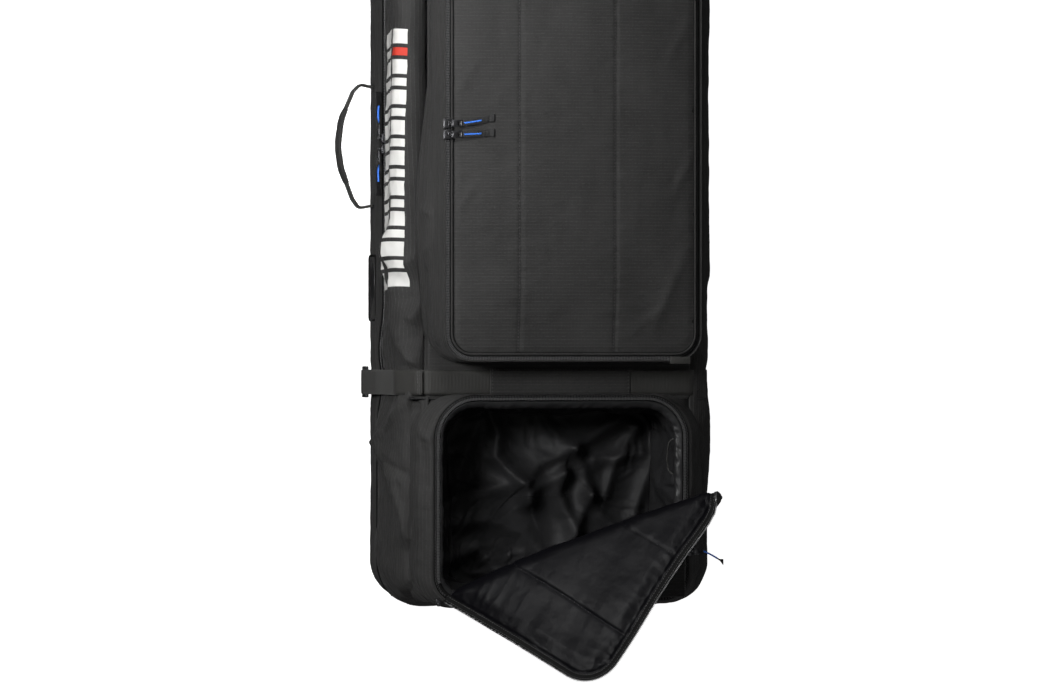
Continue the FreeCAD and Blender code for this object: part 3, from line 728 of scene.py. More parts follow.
def base_pad():
    """The quilted padding inside the back, over its board."""
    low, high = box_mm("base_padding")
    seat = high[2] - 4
    inner = rounded_sheet(low[0], high[0], low[1], high[1], 50, 50, 120, 300)
    edge = edge_distance(inner, low[0], high[0], low[1], high[1], 50)
    across, along = inner[..., 0], inner[..., 1]
    quilted = np.abs(np.sin(along * math.pi / 98)) ** 0.55 * np.abs(np.cos(across * math.pi / 150)) ** 0.5
    crown = 4.5 * quilted * smooth(0, 26, edge)
    drop = (seat - 3.0) * (1 - np.sqrt(np.clip(1 - (1 - np.clip(edge / 12, 0, 1)) ** 2, 0, 1)))
    level = seat - drop + crown + 0.5 * ripple(deepened(inner), (34, 26, 30), 31)
    pad = cloth_object("base_quilted_pad", np.dstack([inner, level]), (QUILT, QUILT), thickness=1.5)
    finish_piece(pad, "base", "lining", "base_padding", "back_stiffener_board")


# ---------------------------------------------------------------- lid half


def lid_side_grid():
    """The lid's wall from the zipper, round the shoulder, to the edge of the front panel, with its
    normals in plan and each row's length up the wall."""
    low_points, normals = outline(*FULL, CORNER, CORNER, COUNTS)
    top_points = outline(*TOP_OUTLINE, LID_TOP_CORNER, LID_TOP_CORNER, COUNTS)[0]
    levels = [LID_BOTTOM, LID_BOTTOM + 2.5, *np.linspace(LID_BOTTOM + 6, SHOULDER_START, 28)]
    rows = [(0.0, level, level - LID_BOTTOM) for level in levels]
    rows += [(1 - math.cos(t), SHOULDER_START + (LID_TOP - SHOULDER_START) * math.sin(t),
              SHOULDER_START - LID_BOTTOM + 65 * t / (math.pi / 2))
             for t in np.linspace(0, math.pi / 2, 24)[1:]]
    grid = [at_level(low_points * (1 - share) + top_points * share, level) for share, level, _ in rows]
    return np.stack(grid), normals, np.array([row[2] for row in rows])


def lid_side():
    grid, normals, girth = lid_side_grid()
    x, y, z = np.moveaxis(grid, -1, 0)
    girth = np.broadcast_to(girth[:, None], x.shape)
    side = np.abs(normals[:, 0])[None] ** 2
    left = smooth(-150, -200, x)
    t = np.clip((z - LID_BOTTOM) / (LID_TOP - LID_BOTTOM), 0, 1)
    bulge = (7.0 * side + 4.0 * (1 - side)) * np.sin(math.pi * t ** 0.8) ** 0.9
    bulge *= 1 - 0.6 * pinch(y)
    seam_dip = -1.2 * np.exp(-((girth - 19) / 2.0) ** 2)
    place = np.dstack([x, y, girth])
    long_folds = 1.7 * crumple(place, (60, 210, 30), 43, 2) * side * (0.5 + 0.5 * left)
    creases = (0.9 + 0.9 * left) * crumple(place, (40, 46, 24), 47)
    pulled = 2.4 * crumple(place, (60, 17, 80), 49) * pinch(y) * (0.15 + 0.85 * left)
    small = 0.7 * crumple(place, (26, 34, 22), 53, 2) * left
    under_pocket = left * smooth(306, 274, np.abs(y))
    fade = smooth(0, 10, girth) * np.maximum(smooth(147, 141, girth), under_pocket)
    plane = np.dstack([y, girth])
    hand = 1.75 * left * folds(plane, LEFT_FOLDS, crisp=True) + (1 - left) * side * folds(plane, RIGHT_FOLDS)
    swell = zip_swell(x, y) * smooth(96, 6, girth)
    grid = lifted(grid, bulge + swell + (seam_dip + long_folds + creases + small + pulled + hand) * fade,
                  closed=True)
    wall = cloth_object("lid_side", grid, (OUTER, LINING), closed=True, thickness=2.4)
    finish_piece(wall, "lid", "outer_fabric", "lid_gusset")
    ups = at_level(normals, 0)
    rows = [grid[np.abs(girth[:, 0] - level).argmin()] for level in (17.0, 21.5)]
    sewn_piece("lid_seam_stitches", [seam(row, ups, 4.6, closed=True, lift=0.2) for row in rows], "lid")
    return grid


# Each fold: points as (along the bag, up the wall), width on its left and right, height.
LEFT_FOLDS = (
    (((345, 76), (150, 84), (0, 80), (-120, 84), (-165, 72)), 12, 16, 1.5),
    (((345, 106), (150, 108), (0, 104), (-120, 100), (-172, 88)), 20, 26, 8.0),
    (((-150, 74), (-194, 62), (-232, 82), (-270, 80), (-309, 95), (-332, 114)), 8, 16, 6.5),
    (((-218, 112), (-236, 108)), 20, 20, -7.0),
    (((-285, 118), (-305, 112)), 17, 17, -6.5),
    (((-246, 128), (-268, 112)), 9, 9, 4.0),
    (((-180, 116), (-196, 100)), 8, 8, 3.0),
    (((345, 147), (80, 147), (-40, 137), (-130, 131), (-180, 137), (-282, 145), (-340, 147)), 22, 14, -15.0),
    (((-388, 116), (-432, 72), (-456, 40)), 9, 7, 5.0),
    (((-396, 120), (-420, 124), (-442, 119)), 5, 4, -6.0),
    (((-400, 124), (-480, 122), (-560, 122), (-600, 119), (-694, 116)), 7, 5, -8.0),
    (((-466, 40), (-492, 74), (-540, 100), (-596, 114)), 11, 26, 7.5),
    (((-484, 66), (-494, 92), (-508, 116)), 6, 8, -3.5),
    (((-524, 100), (-566, 116)), 8, 9, -3.0),
    (((-430, 30), (-520, 44), (-600, 30)), 18, 22, 2.5),
    (((-620, 15), (-648, 60), (-668, 96)), 16, 20, 3.0),
    (((-692, 66), (-670, 112)), 3.5, 5, -5.0),
    (((-686, 74), (-664, 116)), 4, 8, 3.0),
)
RIGHT_FOLDS = (
    (((300, 90), (60, 78), (-200, 96)), 12, 14, 4.0),
    (((-250, 60), (-330, 100)), 12, 10, 1.5),
    (((-560, 60), (-420, 100), (-330, 120)), 12, 10, 5.0),
    (((-500, 120), (-610, 104)), 8, 8, -5.0),
)


def lid_panel():
    """The front panel under the pocket and round the straps, from the boot compartment to the top."""
    x_low, x_high, _, y_high = TOP_OUTLINE
    inner = rounded_sheet(x_low - 1, x_high + 1, RIM_HIGH[1] - 3, y_high + 1, 6, LID_TOP_CORNER, 110, 290)
    edge = edge_distance(inner, x_low, x_high, RIM_HIGH[1] - 43, y_high, LID_TOP_CORNER)
    flat = deepened(inner)
    level = LID_TOP + 0.4 + 1.6 * smooth(0, 30, edge) * (1 - pinch(inner[..., 1]))
    outside = smooth(POCKET_HIGH[1], POCKET_HIGH[1] + 30, np.abs(inner[..., 1]))
    level = level + (0.9 * ripple(flat, (70, 34, 30), 51) + 0.8 * crumple(flat, (60, 22, 30), 54)) * outside
    panel = cloth_object("lid_panel", np.dstack([inner, level]), (OUTER, LINING), thickness=2.0)
    finish_piece(panel, "lid", "outer_fabric", "lid_front_panel")


def mouth_ring(amount):
    """The mouth's outline moved inward by an amount, with its normals."""
    x_low, x_high, y_low, y_high = MOUTH
    return outline(x_low + amount, x_high - amount, y_low + amount, y_high - amount, 40 - amount, 66 - amount,
                   BOOT_COUNTS)


def boot_rim():
    """The sloping wall that carries the boot compartment's zipper."""
    foot_y = -HALF_LENGTH - 0.5
    flange = outline(-233, 233, foot_y, -378, 58, 14, BOOT_COUNTS)[0]
    foot = outline(-229, 229, foot_y, -384, 60, 60, BOOT_COUNTS)[0]
    collar = outline(-213, 207, foot_y, -385, 46, 66, BOOT_COUNTS)[0]
    mouth, normals = mouth_ring(0)
    lip = mouth_ring(8)[0]
    side = np.abs(normals[:, 0]) ** 1.5
    foot_level, flange_level, collar_level = 249.0 - 15.0 * side, 249.0 - 20.0 * side, 260.0
    rows = []
    for low, high, low_level, high_level, count in ((flange, foot, flange_level, foot_level, 4),
                                                    (foot, collar, foot_level, collar_level, 12)):
        for share in np.linspace(0, 1, count + 1)[:-1]:
            rows.append(np.column_stack([low * (1 - share) + high * share,
                                         low_level * (1 - share) + high_level * share]))
    for share in np.linspace(0, 1, 9):
        level = collar_level + 11.5 * math.sin(share * math.pi / 2)
        rows.append(at_level(collar * (1 - share) + mouth * share, level))
    rows += [at_level(mouth * (1 - share) + lip * share, RIM_TOP) for share in (0.4, 1.0)]
    grid = np.stack(rows)
    x, y, _ = np.moveaxis(grid, -1, 0)
    share = np.linspace(0, 1, len(grid))[:, None]
    body = np.sin(math.pi * np.clip((share - 0.12) * 1.25, 0, 1)) ** 0.8
    body = body * (1 - 0.75 * np.clip(normals[:, 1], 0, 1))
    left = smooth(-150, -190, x)
    roll = 3.0 + 2.0 * left + 1.5 * crumple(grid, (40, 52, 40), 61) + 1.3 * ripple(grid, (70, 120, 60), 64)
    plane = np.dstack([y, share * 60 + y * 0])
    grid = lifted(grid, (roll + left * folds(plane, RIM_FOLDS)) * body, closed=True)
    grid[..., 2] = np.minimum(grid[..., 2], RIM_TOP + 0.8)
    wall = cloth_object("boot_rim_wall", grid, (OUTER, LINING), closed=True, thickness=1.8)
    finish_piece(wall, "lid", "outer_fabric", "boot_rim")


RIM_FOLDS = (
    (((-405, 18), (-440, 30), (-452, 46)), 6, 8, 3.0),
    (((-500, 22), (-540, 30), (-580, 24)), 8, 10, 2.5),
    (((-600, 40), (-640, 26), (-690, 30)), 7, 9, 2.5),
    (((-470, 40), (-520, 44)), 6, 6, -2.5),
    (((-560, 44), (-610, 50)), 6, 6, -2.0),
)


# ---------------------------------------------------------------- flat pocket


def pocket_wall():
    low_points, normals = outline(POCKET_LOW[0], POCKET_HIGH[0], POCKET_LOW[1] - 3, POCKET_HIGH[1], 45, 45,
                                  POCKET_COUNTS)
    high_points = outline(*POCKET_RIM, POCKET_CORNER, POCKET_CORNER, POCKET_COUNTS)[0]
    rows = []
    for share in (0, 0.03, *np.linspace(0.07, 0.96, 18), 1):
        flat = low_points * (1 - share) + high_points * share + normals * 1.5 * (1 - smooth(0, 0.05, share))
        rows.append(at_level(flat, POCKET_FOOT + POCKET_RISE * share))
    grid = np.stack([rows[0] - 14.0 * UP, rows[0] - 7.0 * UP] + rows)
    x, y, z = np.moveaxis(grid, -1, 0)
    share = np.clip((z - 250) / 78, 0, 1)
    left = smooth(-150, -190, x)
    skirt = np.interp(y, (-320, -282, -180, -130, -40, 80), (0, 6, 13, 18, 13, 0)) * left
    grid[..., 0] -= skirt * (1 - share) ** 2.2
    grid[..., 2] -= skirt * 0.35 * (1 - share) ** 6
    side = np.abs(normals[:, 0])[None] ** 2
    swell = (3.2 * side + 2.0 * (1 - side)) * np.sin(math.pi * share)
    waist = -2.4 * np.exp(-((share - 0.42) / 0.16) ** 2) * smooth(-250, -330, y)
    relief = 1.5 * crumple(grid, (40, 150, 24), 71) + 0.9 * ripple(grid, (30, 60, 24), 74)
    fade = smooth(0, 0.12, share) * smooth(1, 0.9, share)
    grid = lifted(grid, swell + (relief + waist) * fade, closed=True)
    plane = np.dstack([y, share * 78])
    grid = lifted(grid, smooth(-150, -190, x) * folds(plane, POCKET_FOLDS) * fade, closed=True)
    wall = cloth_object("pocket_wall", grid, (OUTER, LINING), closed=True, thickness=2.2)
    finish_piece(wall, "lid", "outer_fabric", "pocket_gusset")


POCKET_FOLDS = (
    (((330, 40), (200, 30), (60, 38), (-60, 24), (-160, 30)), 8, 14, 3.0),
    (((-105, 14), (-112, 34)), 7, 7, 4.0),
    (((-170, 20), (-230, 44), (-300, 38)), 8, 10, 3.5),
    (((-200, 14), (-260, 22)), 5, 7, -3.0),
    (((160, 14), (20, 20)), 5, 7, -2.5),
)
DOOR_SEAMS = (-85.0, 63.0)


def pocket_door():
    """The pocket's large panel in three sewn parts, slightly filled."""
    low, high = DOOR_LOW - np.array([0, 5, 0]), DOOR_HIGH
    inner = rounded_sheet(low[0] - 1, high[0] + 1, low[1] - 1, high[1] + 1, 33, 33, 170, 270)
    x, y = inner[..., 0], inner[..., 1]
    edge = edge_distance(inner, low[0], high[0], low[1], high[1], 33)
    flat = deepened(inner)
    crown = 11.0 * np.clip(1 - (x / high[0]) ** 2, 0, 1) * smooth(0, 110, high[1] - np.abs(y))
    crown = crown + 1.8 * smooth(0, 12, edge)
    dip, pucker = (sum(np.exp(-((x - place) / width) ** 2) for place in DOOR_SEAMS) for width in (3.2, 16))
    soft = 1.5 * ripple(flat, (120, 220, 30), 81) + 0.8 * ripple(flat, (46, 34, 30), 84)
    gathers = 0.75 * ripple(flat, (40, 11, 30), 86, 2) * pucker
    rim_gathers = 0.7 * ripple(flat, (26, 13, 30), 88, 2) * np.exp(-(edge / 16) ** 2)
    creases = sum(fold(inner, *crease) for crease in DOOR_FOLDS)
    level = high[2] - 2.6 + crown - 1.5 * dip + soft * smooth(0, 40, edge) + gathers + rim_gathers + creases
    panel = cloth_object("pocket_door_sheet", np.dstack([inner, level]), (OUTER, LINING), thickness=2.4,
                         flat=inner)
    finish_piece(panel, "pocket_door", "outer_fabric", "pocket_door_panel")
    parts = []
    rows = np.arange(len(x))
    for place in DOOR_SEAMS:
        column, beside = (np.abs(x - spot).argmin(axis=1) for spot in (place, place - 2.2))
        line = np.column_stack([np.full(len(rows), place - 2.2), y[rows, column], level[rows, beside] + 0.2])
        parts.append(seam(line[3:-3], UP, 4.8, size=(2.6, 0.7, 0.5)))
    sewn_piece("pocket_door_stitches", parts, "pocket_door")


DOOR_FOLDS = (
    ((120, -290), (183, -150), 10, 2.4),
    ((70, -300), (150, -250), 9, 1.6),
    ((150, -90), (186, -20), 8, 1.8),
    ((-180, -250), (-120, -300), 10, 1.6),
    ((-184, -120), (-150, -60), 7, 1.2),
    ((-150, 120), (-184, 60), 8, 1.4),
    ((140, 110), (186, 190), 9, 1.6),
)

# ---------------------------------------------------------------- webbing and small parts


def rounded_block(low, high, radius, segments=2):
    """A box with rounded edges: vertices and faces."""
    low, high = np.array(low, float), np.array(high, float)
    shape = bmesh.new()
    bmesh.ops.create_cube(shape, size=1.0)
    for vertex in shape.verts:
        vertex.co = Vector((low + high) / 2 + np.array(vertex.co) * (high - low))
    bmesh.ops.bevel(shape, geom=list(shape.edges), offset=radius, segments=segments, profile=0.5,
                    affect="EDGES", clamp_overlap=True)
    shape.verts.index_update()
    vertices = np.array([tuple(vertex.co) for vertex in shape.verts])
    faces = [[vertex.index for vertex in face.verts] for face in shape.faces]
    shape.free()
    return vertices, faces


def arc_points(points, radii, step=3.0):
    """A polyline whose inner corners are rounded, in any number of axes."""
    points = [np.array(point, float) for point in points]
    path = [points[0]]
    for before, corner, after, radius in zip(points, points[1:], points[2:], radii):
        a, b = unit(before - corner), unit(after - corner)
        half = math.acos(np.clip(a @ b, -1, 1)) / 2
        reach = radius / math.tan(half)
        centre = corner + unit(a + b) * (radius / math.sin(half))
        start, end = corner + a * reach - centre, corner + b * reach - centre
        sweep = math.pi - 2 * half
        for share in np.linspace(0, 1, max(3, int(radius * sweep / step) + 2)):
            weight = math.sin((1 - share) * sweep), math.sin(share * sweep)
            path.append(centre + (start * weight[0] + end * weight[1]) / math.sin(sweep))
    path = np.array(path + [points[-1]])
    length = run_length(path)
    return points_at(np.linspace(0, length[-1], max(2, int(length[-1] / step))), length, path)


def ribbon(name, path, wide, width, thickness, material, columns=9, edge=0.35, relief=None):
    """A strap along a path, lying across the direction wide, with its edges slightly thinned."""
    across = np.linspace(-0.5, 0.5, columns)
    grid = path[:, None] + np.asarray(wide, float) * (across[None, :, None] * width)
    normal = grid_normals(grid, False)
    thin = (np.abs(across) * 2) ** 8 * edge
    grid = grid + normal * (thickness / 2 - thin)[None, :, None]
    if relief is not None:
        grid = grid + normal * relief(grid)[..., None]
    flat = np.stack(np.broadcast_arrays(run_length(path)[:, None], across[None] * width), axis=-1)
    return cloth_object(name, grid, (material, material), thickness=thickness - 2 * thin[None, :, None],
                        flat=flat)



# ---------------------------------------------------------------- main zipper


def open_run(points, keep, from_top=True):
    """The order of an outline's kept points, from where they begin: at its top, or anywhere."""
    starts = np.flatnonzero(keep & ~np.roll(keep, 1))
    if from_top:
        starts = starts[points[starts, 1] > 0]
    order = np.roll(np.arange(len(points)), -starts[0])
    return order[keep[order]]


def main_zipper():
    """The zipper from the right end of the top, round the left, to the right end of the foot."""
    points, normals = outline(*FULL, CORNER, CORNER, COUNTS)
    order = open_run(points, points[:, 0] < 180)
    points, normals = points[order], normals[order]
    moved = points + normals * zip_swell(points[:, 0], points[:, 1])[:, None]
    ups = at_level(normals, 0)
    for body, levels, coil_level, seam_level in (("base", (103, 105, 109, 113, 115.9), 116.4, 104),
                                                 ("lid", (118.1, 121, 125, 129, 131), 117.6, 130)):
        rows = ring(moved, normals, zip((0.9, 1.9, 2.2, 1.9, 0.9), levels))
        tape = cloth_object(f"{body}_zipper_tape", rows, (TAPE, TAPE), thickness=0.8)
        finish_piece(tape, body, "zipper_tape", f"{body}_zipper_tape")
        teeth = coil(at_level(moved + normals * 1.6, coil_level), ups, 2.4, (3.0, 1.5, 1.3))
        solid_piece(f"{body}_zipper_teeth", teeth, COIL, body, "zipper_coil", smooth_faces=False)
        sewn_piece(f"{body}_zipper_stitches",
                   [seam(at_level(moved + normals * 1.5, seam_level), ups, lift=0)], body)
    path = np.linspace((HALF_WIDTH, -620, ZIP_LEVEL), (HALF_WIDTH, 620, ZIP_LEVEL), 300)
    piping = tube(path, 1.5 + 0.15 * ripple(path, (1, 22, 1), 91, 1), 12)
    solid_piece("hinge_piping", piping, TAPE, "base", "outer_fabric", "lid_hinge_piping")


def hinge_web():
    """The strip of cloth that joins the two halves along the right side."""
    x = HALF_WIDTH - 1.0
    grid = np.stack([np.linspace((x, -642, level), (x, 642, level), 340)
                     for level in np.linspace(105, 129, 17)])
    grid[..., 0] += 0.4 * ripple(grid, (20, 40, 12), 97, 2)
    web = cloth_object("hinge_web", grid, (OUTER, LINING), thickness=1.2)
    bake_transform(web)


def pocket_hinge_web():
    """The strip of cloth that joins the pocket's door to its wall along the right side."""
    low, high = POCKET_RIM[2] + 36, POCKET_RIM[3] - 36
    share = np.linspace(0, 1, 25)
    across = np.interp(share, (0, 0.3, 0.7, 0.8, 1), (184.0, 190.0, 196.6, 197.8, 198.0))
    level = np.interp(share, (0, 0.3, 0.7, 0.8, 1), (330.4, 329.6, 329.2, 327.5, 323.0))
    grid = np.stack([np.linspace((x, low, z), (x, high, z), 180) for x, z in zip(across, level)])
    web = cloth_object("pocket_hinge_web", grid, (TAPE, TAPE), thickness=1.0)
    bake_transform(web)



# ---------------------------------------------------------------- pocket zipper


def pocket_zipper():
    outer, normals = outline(*POCKET_RIM, POCKET_CORNER, POCKET_CORNER, POCKET_COUNTS)
    for name, body, profile, nodes in (
            ("pocket_zipper_fixed", "lid",
             ((0.8, 326.5), (0.9, 328.5), (0.2, 330.4), (-1.0, 331.0), (-3.2, 330.9)),
             ("pocket_coil_fixed", "pocket_hinge_welt")),
            ("pocket_door_tape", "pocket_door",
             ((-12.6, 332.6), (-10.5, 331.4), (-8.0, 331.0), (-6.0, 330.9), (-3.9, 330.9)),
             ("pocket_coil_door",))):
        tape = cloth_object(name, ring(outer, normals, profile), (TAPE, TAPE), closed=True, thickness=0.9)
        finish_piece(tape, body, "zipper_tape", *nodes)
    order = open_run(outer, outer[:, 0] < 150)
    for part, body, offset in (("fixed", "lid", -2.3), ("door", "pocket_door", -4.9)):
        teeth = coil(at_level(outer[order] + normals[order] * offset, 331.9), UP, 2.4, (2.5, 1.5, 1.7))
        solid_piece(f"pocket_teeth_{part}", teeth, COIL, body, "zipper_coil", smooth_faces=False)
    for part, body, offset, level, radius in (("fixed", "lid", 0.3, 330.6, 1.3),
                                              ("door", "pocket_door", -9.6, 332.4, 1.5)):
        path = at_level(outer + normals * offset, level)
        piping = tube(path, radius + 0.1 * ripple(path, 17, 93, 1), 8, closed=True)
        solid_piece(f"pocket_piping_{part}", piping, OUTER, body, "outer_fabric")
    tabs = joined([rounded_block((150, y, 329.6), (182, y + 11, 333.2), 0.9, 3) for y in (-338.0, 321.0)])
    solid_piece("pocket_zipper_tabs", tabs, WEBBING, "lid", "outer_fabric", "pocket_zipper_end_tabs")


# ---------------------------------------------------------------- boot compartment


def boot_zipper():
    points, normals = mouth_ring(0)
    profile = ((0.9, 270.2), (0.9, 273.2), (0.0, 274.2), (-2.0, 274.6), (-5.0, 274.5), (-8.0, 274.0))
    rows = ring(points, normals, profile)
    tape = cloth_object("boot_zipper_tape", rows, (TAPE, TAPE), closed=True, thickness=0.9)
    finish_piece(tape, "lid", "zipper_tape", "boot_zipper_fixed")
    order = open_run(points, normals[:, 1] > -0.35, from_top=False)
    teeth = coil(at_level(points[order] - normals[order] * 5.6, 275.5), UP, 2.3, (4.2, 1.5, 1.7))
    solid_piece("boot_zipper_teeth", teeth, COIL, "lid", "zipper_coil", smooth_faces=False)
    rows = [seam(at_level(points - normals * by, 274.7), UP, 4.4, closed=True, lift=0) for by in (0.9, 2.5)]
    sewn_piece("boot_zipper_stitches", rows, "lid")
    stop = joined([rounded_block((-200, -699.5, 271.5), (-191.5, -691.5, 277), 1.4, 3),
                   rounded_block((-198, -702, 273), (-193.5, -696, 279.4), 1.2, 3)])
    solid_piece("boot_zipper_stop", stop, METAL, "lid", "hardware", "boot_zipper_end_stop")


def boot_hem():
    """The gathered hem that joins the lining to the mouth."""
    x_low, x_high, y_low, y_high = MOUTH
    points, normals = outline(x_low + 9, x_high - 9, y_low + 6, y_high - 9, 34, 57, (190, 44, 150))
    share = np.linspace(0, 1, 17)[:, None]
    depth = np.where(normals[:, 0] < -0.5, 5.0, 10.0)[None]
    depth = (depth + np.roll(depth, 12) + np.roll(depth, -12) + np.roll(depth, 24) + np.roll(depth, -24)) / 5
    offset = -depth * np.sin(share * math.pi / 2)
    flat = points[None] + normals[None] * offset[..., None]
    grid = np.dstack([flat, 273.2 - 8.0 * share ** 1.5 + offset * 0])
    length = run_length(points)[None]
    loop = length[0, -1] + 3
    angle = 2 * math.pi * length / loop
    place = np.dstack([np.cos(angle) * loop / 6.28 + share * 4, np.sin(angle) * loop / 6.28 + share * 6,
                       share * 14 + angle * 0])
    gathers = 1.1 * ripple(place, (15, 15, 30), 101, 2) + 1.0 * crumple(place, (26, 26, 26), 104, 2)
    right = smooth(120, 185, grid[..., 0]) * smooth(-660, -600, grid[..., 1])
    gathers = gathers + 1.6 * crumple(place, (34, 34, 18), 107, 2) * right
    grid = lifted(grid, gathers * np.sin(math.pi * np.clip(share, 0.05, 1) * 0.85), closed=True)
    hem = cloth_object("boot_hem", grid[::-1], (HEM, HEM), closed=True, thickness=0.9)
    finish_piece(hem, "lid", "lining", "boot_rim_hem")
    path = arc_points([(178, -452, 258), (171.5, -457, 253), (170.5, -480, 247), (172, -501, 247),
                       (179, -507, 254)],
                      [8, 20, 10], 2.0)
    solid_piece("boot_inner_cord_loop", tube(path, 1.2, 8, flat=0.8), WEBBING, "lid", "webbing",
                "boot_inner_loop")


def boot_partition():
    """The wall and floor that close the boot compartment inside the lid."""
    profile = arc_points([(-390, 249), (-390, 124), (-693, 124)], [10], 6.0)
    grid = np.stack([np.linspace((-233, y, z), (233, y, z), 70) for y, z in profile])
    grid = lifted(grid, 0.8 * ripple(grid, (60, 60, 50), 111))
    wall = cloth_object("boot_partition", grid, (LINING, OUTER), thickness=1.6)
    finish_piece(wall, "lid", "lining", "boot_divider", "boot_floor")


def lining_guess():
    """Rows of the boot lining before it is simulated: down the walls and over the floor."""
    rows = []
    for share in np.linspace(0, 1, 16):
        inward_by = 3.0 + 9.0 * share
        last = outline(-191 + inward_by + 34 * share, 186 - inward_by, -690 + inward_by, -396 - inward_by,
                       32, 48,
                       (44, 12, 34))[0]
        rows.append(at_level(last, 262.0 - 131.0 * share))
    core = np.column_stack([np.clip(last[:, 0], -44, 44), np.full(len(last), -542.0)])
    for share in np.linspace(0, 1, 25)[1:]:
        near = min(share, 0.998)
        rows.append(at_level(last * (1 - near) + core * near, 131.0 - 3.0 * share))
    return np.stack(rows)


# Each crease of the lining's floor: points across and along the bag, width on its left and right, height.
LINING_FOLDS = (
    (((-84, -410), (-70, -447), (-73, -481), (-54, -502), (-30, -524), (-20, -550)), 16, 10, 13),
    (((-30, -520), (-4, -491), (50, -468), (119, -427)), 20, 14, 12),
    (((50, -468), (68, -499), (76, -540)), 12, 12, 8),
    (((-150, -552), (-129, -543), (-46, -522)), 14, 20, 9),
    (((34, -507), (26, -535), (44, -576), (54, -600)), 12, 16, 12),
    (((34, -507), (-4, -525), (-26, -545)), 14, 12, 9),
    (((76, -540), (58, -584), (40, -620)), 12, 12, 9),
    (((76, -540), (98, -574), (130, -600)), 12, 14, 8),
    (((87, -486), (161, -476)), 10, 12, 7),
    (((151, -437), (119, -489), (103, -540)), 12, 9, 8),
    (((188, -452), (167, -520), (150, -570)), 12, 10, 8),
    (((-148, -586), (-84, -576), (-28, -597), (10, -640)), 18, 14, 9),
    (((-100, -427), (-129, -500), (-140, -543)), 12, 16, 8),
    (((-150, -640), (-100, -622), (-60, -660)), 16, 12, 8),
    (((-10, -415), (14, -450), (50, -468)), 12, 14, 7),
    (((130, -410), (119, -427), (151, -437)), 9, 9, 6),
)


def boot_lining():
    """The thin lining of the boot compartment, cut too large and left to fall into folds."""
    grid = lining_guess()
    rows, columns = grid.shape[:2]
    loose = 6.0 * crumple(grid, (110, 110, 90), 121, 2) * smooth(0, 5, np.arange(rows))[:, None]
    grid = lifted(grid, loose, True)
    thing = new_object("boot_lining_cloth", grid.reshape(-1, 3), grid_faces(rows, columns, True), (LINING,))
    simulate_lining(thing, columns)
    shaped = np.array([tuple(v.co) for v in thing.data.vertices]).reshape(rows, columns, 3) / MM
    bpy.data.objects.remove(thing)
    shaped = softened_core(resampled_grid(shaped, 3))
    low = smooth(215, 140, shaped[..., 2])
    shaped[..., 2] += 1.35 * folds(shaped[..., :2], LINING_FOLDS, crisp=True) * low
    shaped[..., 2] += 1.2 * crumple(shaped, (70, 46, 60), 127, 2) * low
    hollows = 3.5 * crumple(shaped, (44, 44, 150), 129, 2) * (1 - low) * smooth(258, 240, shaped[..., 2])
    shaped = lifted(shaped, hollows, True)
    shaped = np.clip(shaped, (-214, -694, 127.2), (214, -394, np.inf))
    sheet = cloth_object("boot_lining_cloth", shaped[::-1], (LINING, LINING), closed=True, thickness=0.8)
    finish_piece(sheet, "lid", "lining", "boot_lining")


def softened_core(grid):
    """The same cloth without the small wrinkles where its rows close up at the middle of the floor."""
    share = np.linspace(0, 1, len(grid))[:, None]
    reach = 16
    soft = sum(np.roll(grid[..., 2], shift, axis=1) for shift in range(-reach, reach + 1)) / (2 * reach + 1)
    near, core = smooth(0.55, 0.8, share), smooth(0.8, 0.98, share)
    level = grid[..., 2] * (1 - near) + soft * near
    middle = level[int(0.82 * len(grid))].mean()
    result = grid.copy()
    result[..., 2] = level * (1 - core) + middle * core
    return result


def resampled_grid(grid, times):
    """A closed grid with more rows and columns, on smooth curves through the old ones."""
    for axis in (0, 1):
        count = grid.shape[axis]
        places = (np.arange(count * times) / times if axis
                  else np.linspace(0, count - 1, (count - 1) * times + 1))
        index = np.minimum(np.floor(places).astype(int), count - 2 + axis)
        t = (places - index)[None, :, None] if axis else (places - index)[:, None, None]
        picks = [index + shift for shift in (-1, 0, 1, 2)]
        picks = [pick % count if axis else np.clip(pick, 0, count - 1) for pick in picks]
        a, b, c, d = (np.take(grid, pick, axis=axis) for pick in picks)
        grid = 0.5 * (2 * b + (c - a) * t + (2 * a - 5 * b + 4 * c - d) * t ** 2
                      + (3 * b - a - 3 * c + d) * t ** 3)
    return grid


def simulate_lining(thing, columns):
    """Lets the lining fall, held at its top row."""
    scene = bpy.context.scene
    group = thing.vertex_groups.new(name="held")
    group.add(list(range(columns)), 1.0, "REPLACE")
    cloth = thing.modifiers.new("cloth", "CLOTH")
    settings = cloth.settings
    for key, value in (("quality", 6), ("mass", 0.12), ("tension_stiffness", 22),
                       ("compression_stiffness", 22),
                       ("shear_stiffness", 12), ("bending_stiffness", 6.0), ("air_damping", 2),
                       ("shrink_min", -0.06), ("vertex_group_mass", "held")):
        setattr(settings, key, value)
    cloth.collision_settings.collision_quality = 3
    cloth.collision_settings.distance_min = 0.002
    cloth.collision_settings.use_self_collision = False
    floor = new_object("lining_floor", *rounded_block((-206, -694, 100), (206, -392, 126.5), 2, 1),
                       smooth_faces=False)
    floor.modifiers.new("hit", "COLLISION")
    floor.collision.thickness_outer = 0.002
    cloth.point_cache.frame_start, cloth.point_cache.frame_end = 1, 60
    for number in range(1, 61):
        scene.frame_set(number)
    bpy.context.view_layer.objects.active = thing
    bpy.ops.object.select_all(action="DESELECT")
    thing.select_set(True)
    bpy.ops.object.modifier_apply(modifier="cloth")
    scene.frame_set(1)
    bpy.data.objects.remove(floor)

# ---------------------------------------------------------------- boot flap

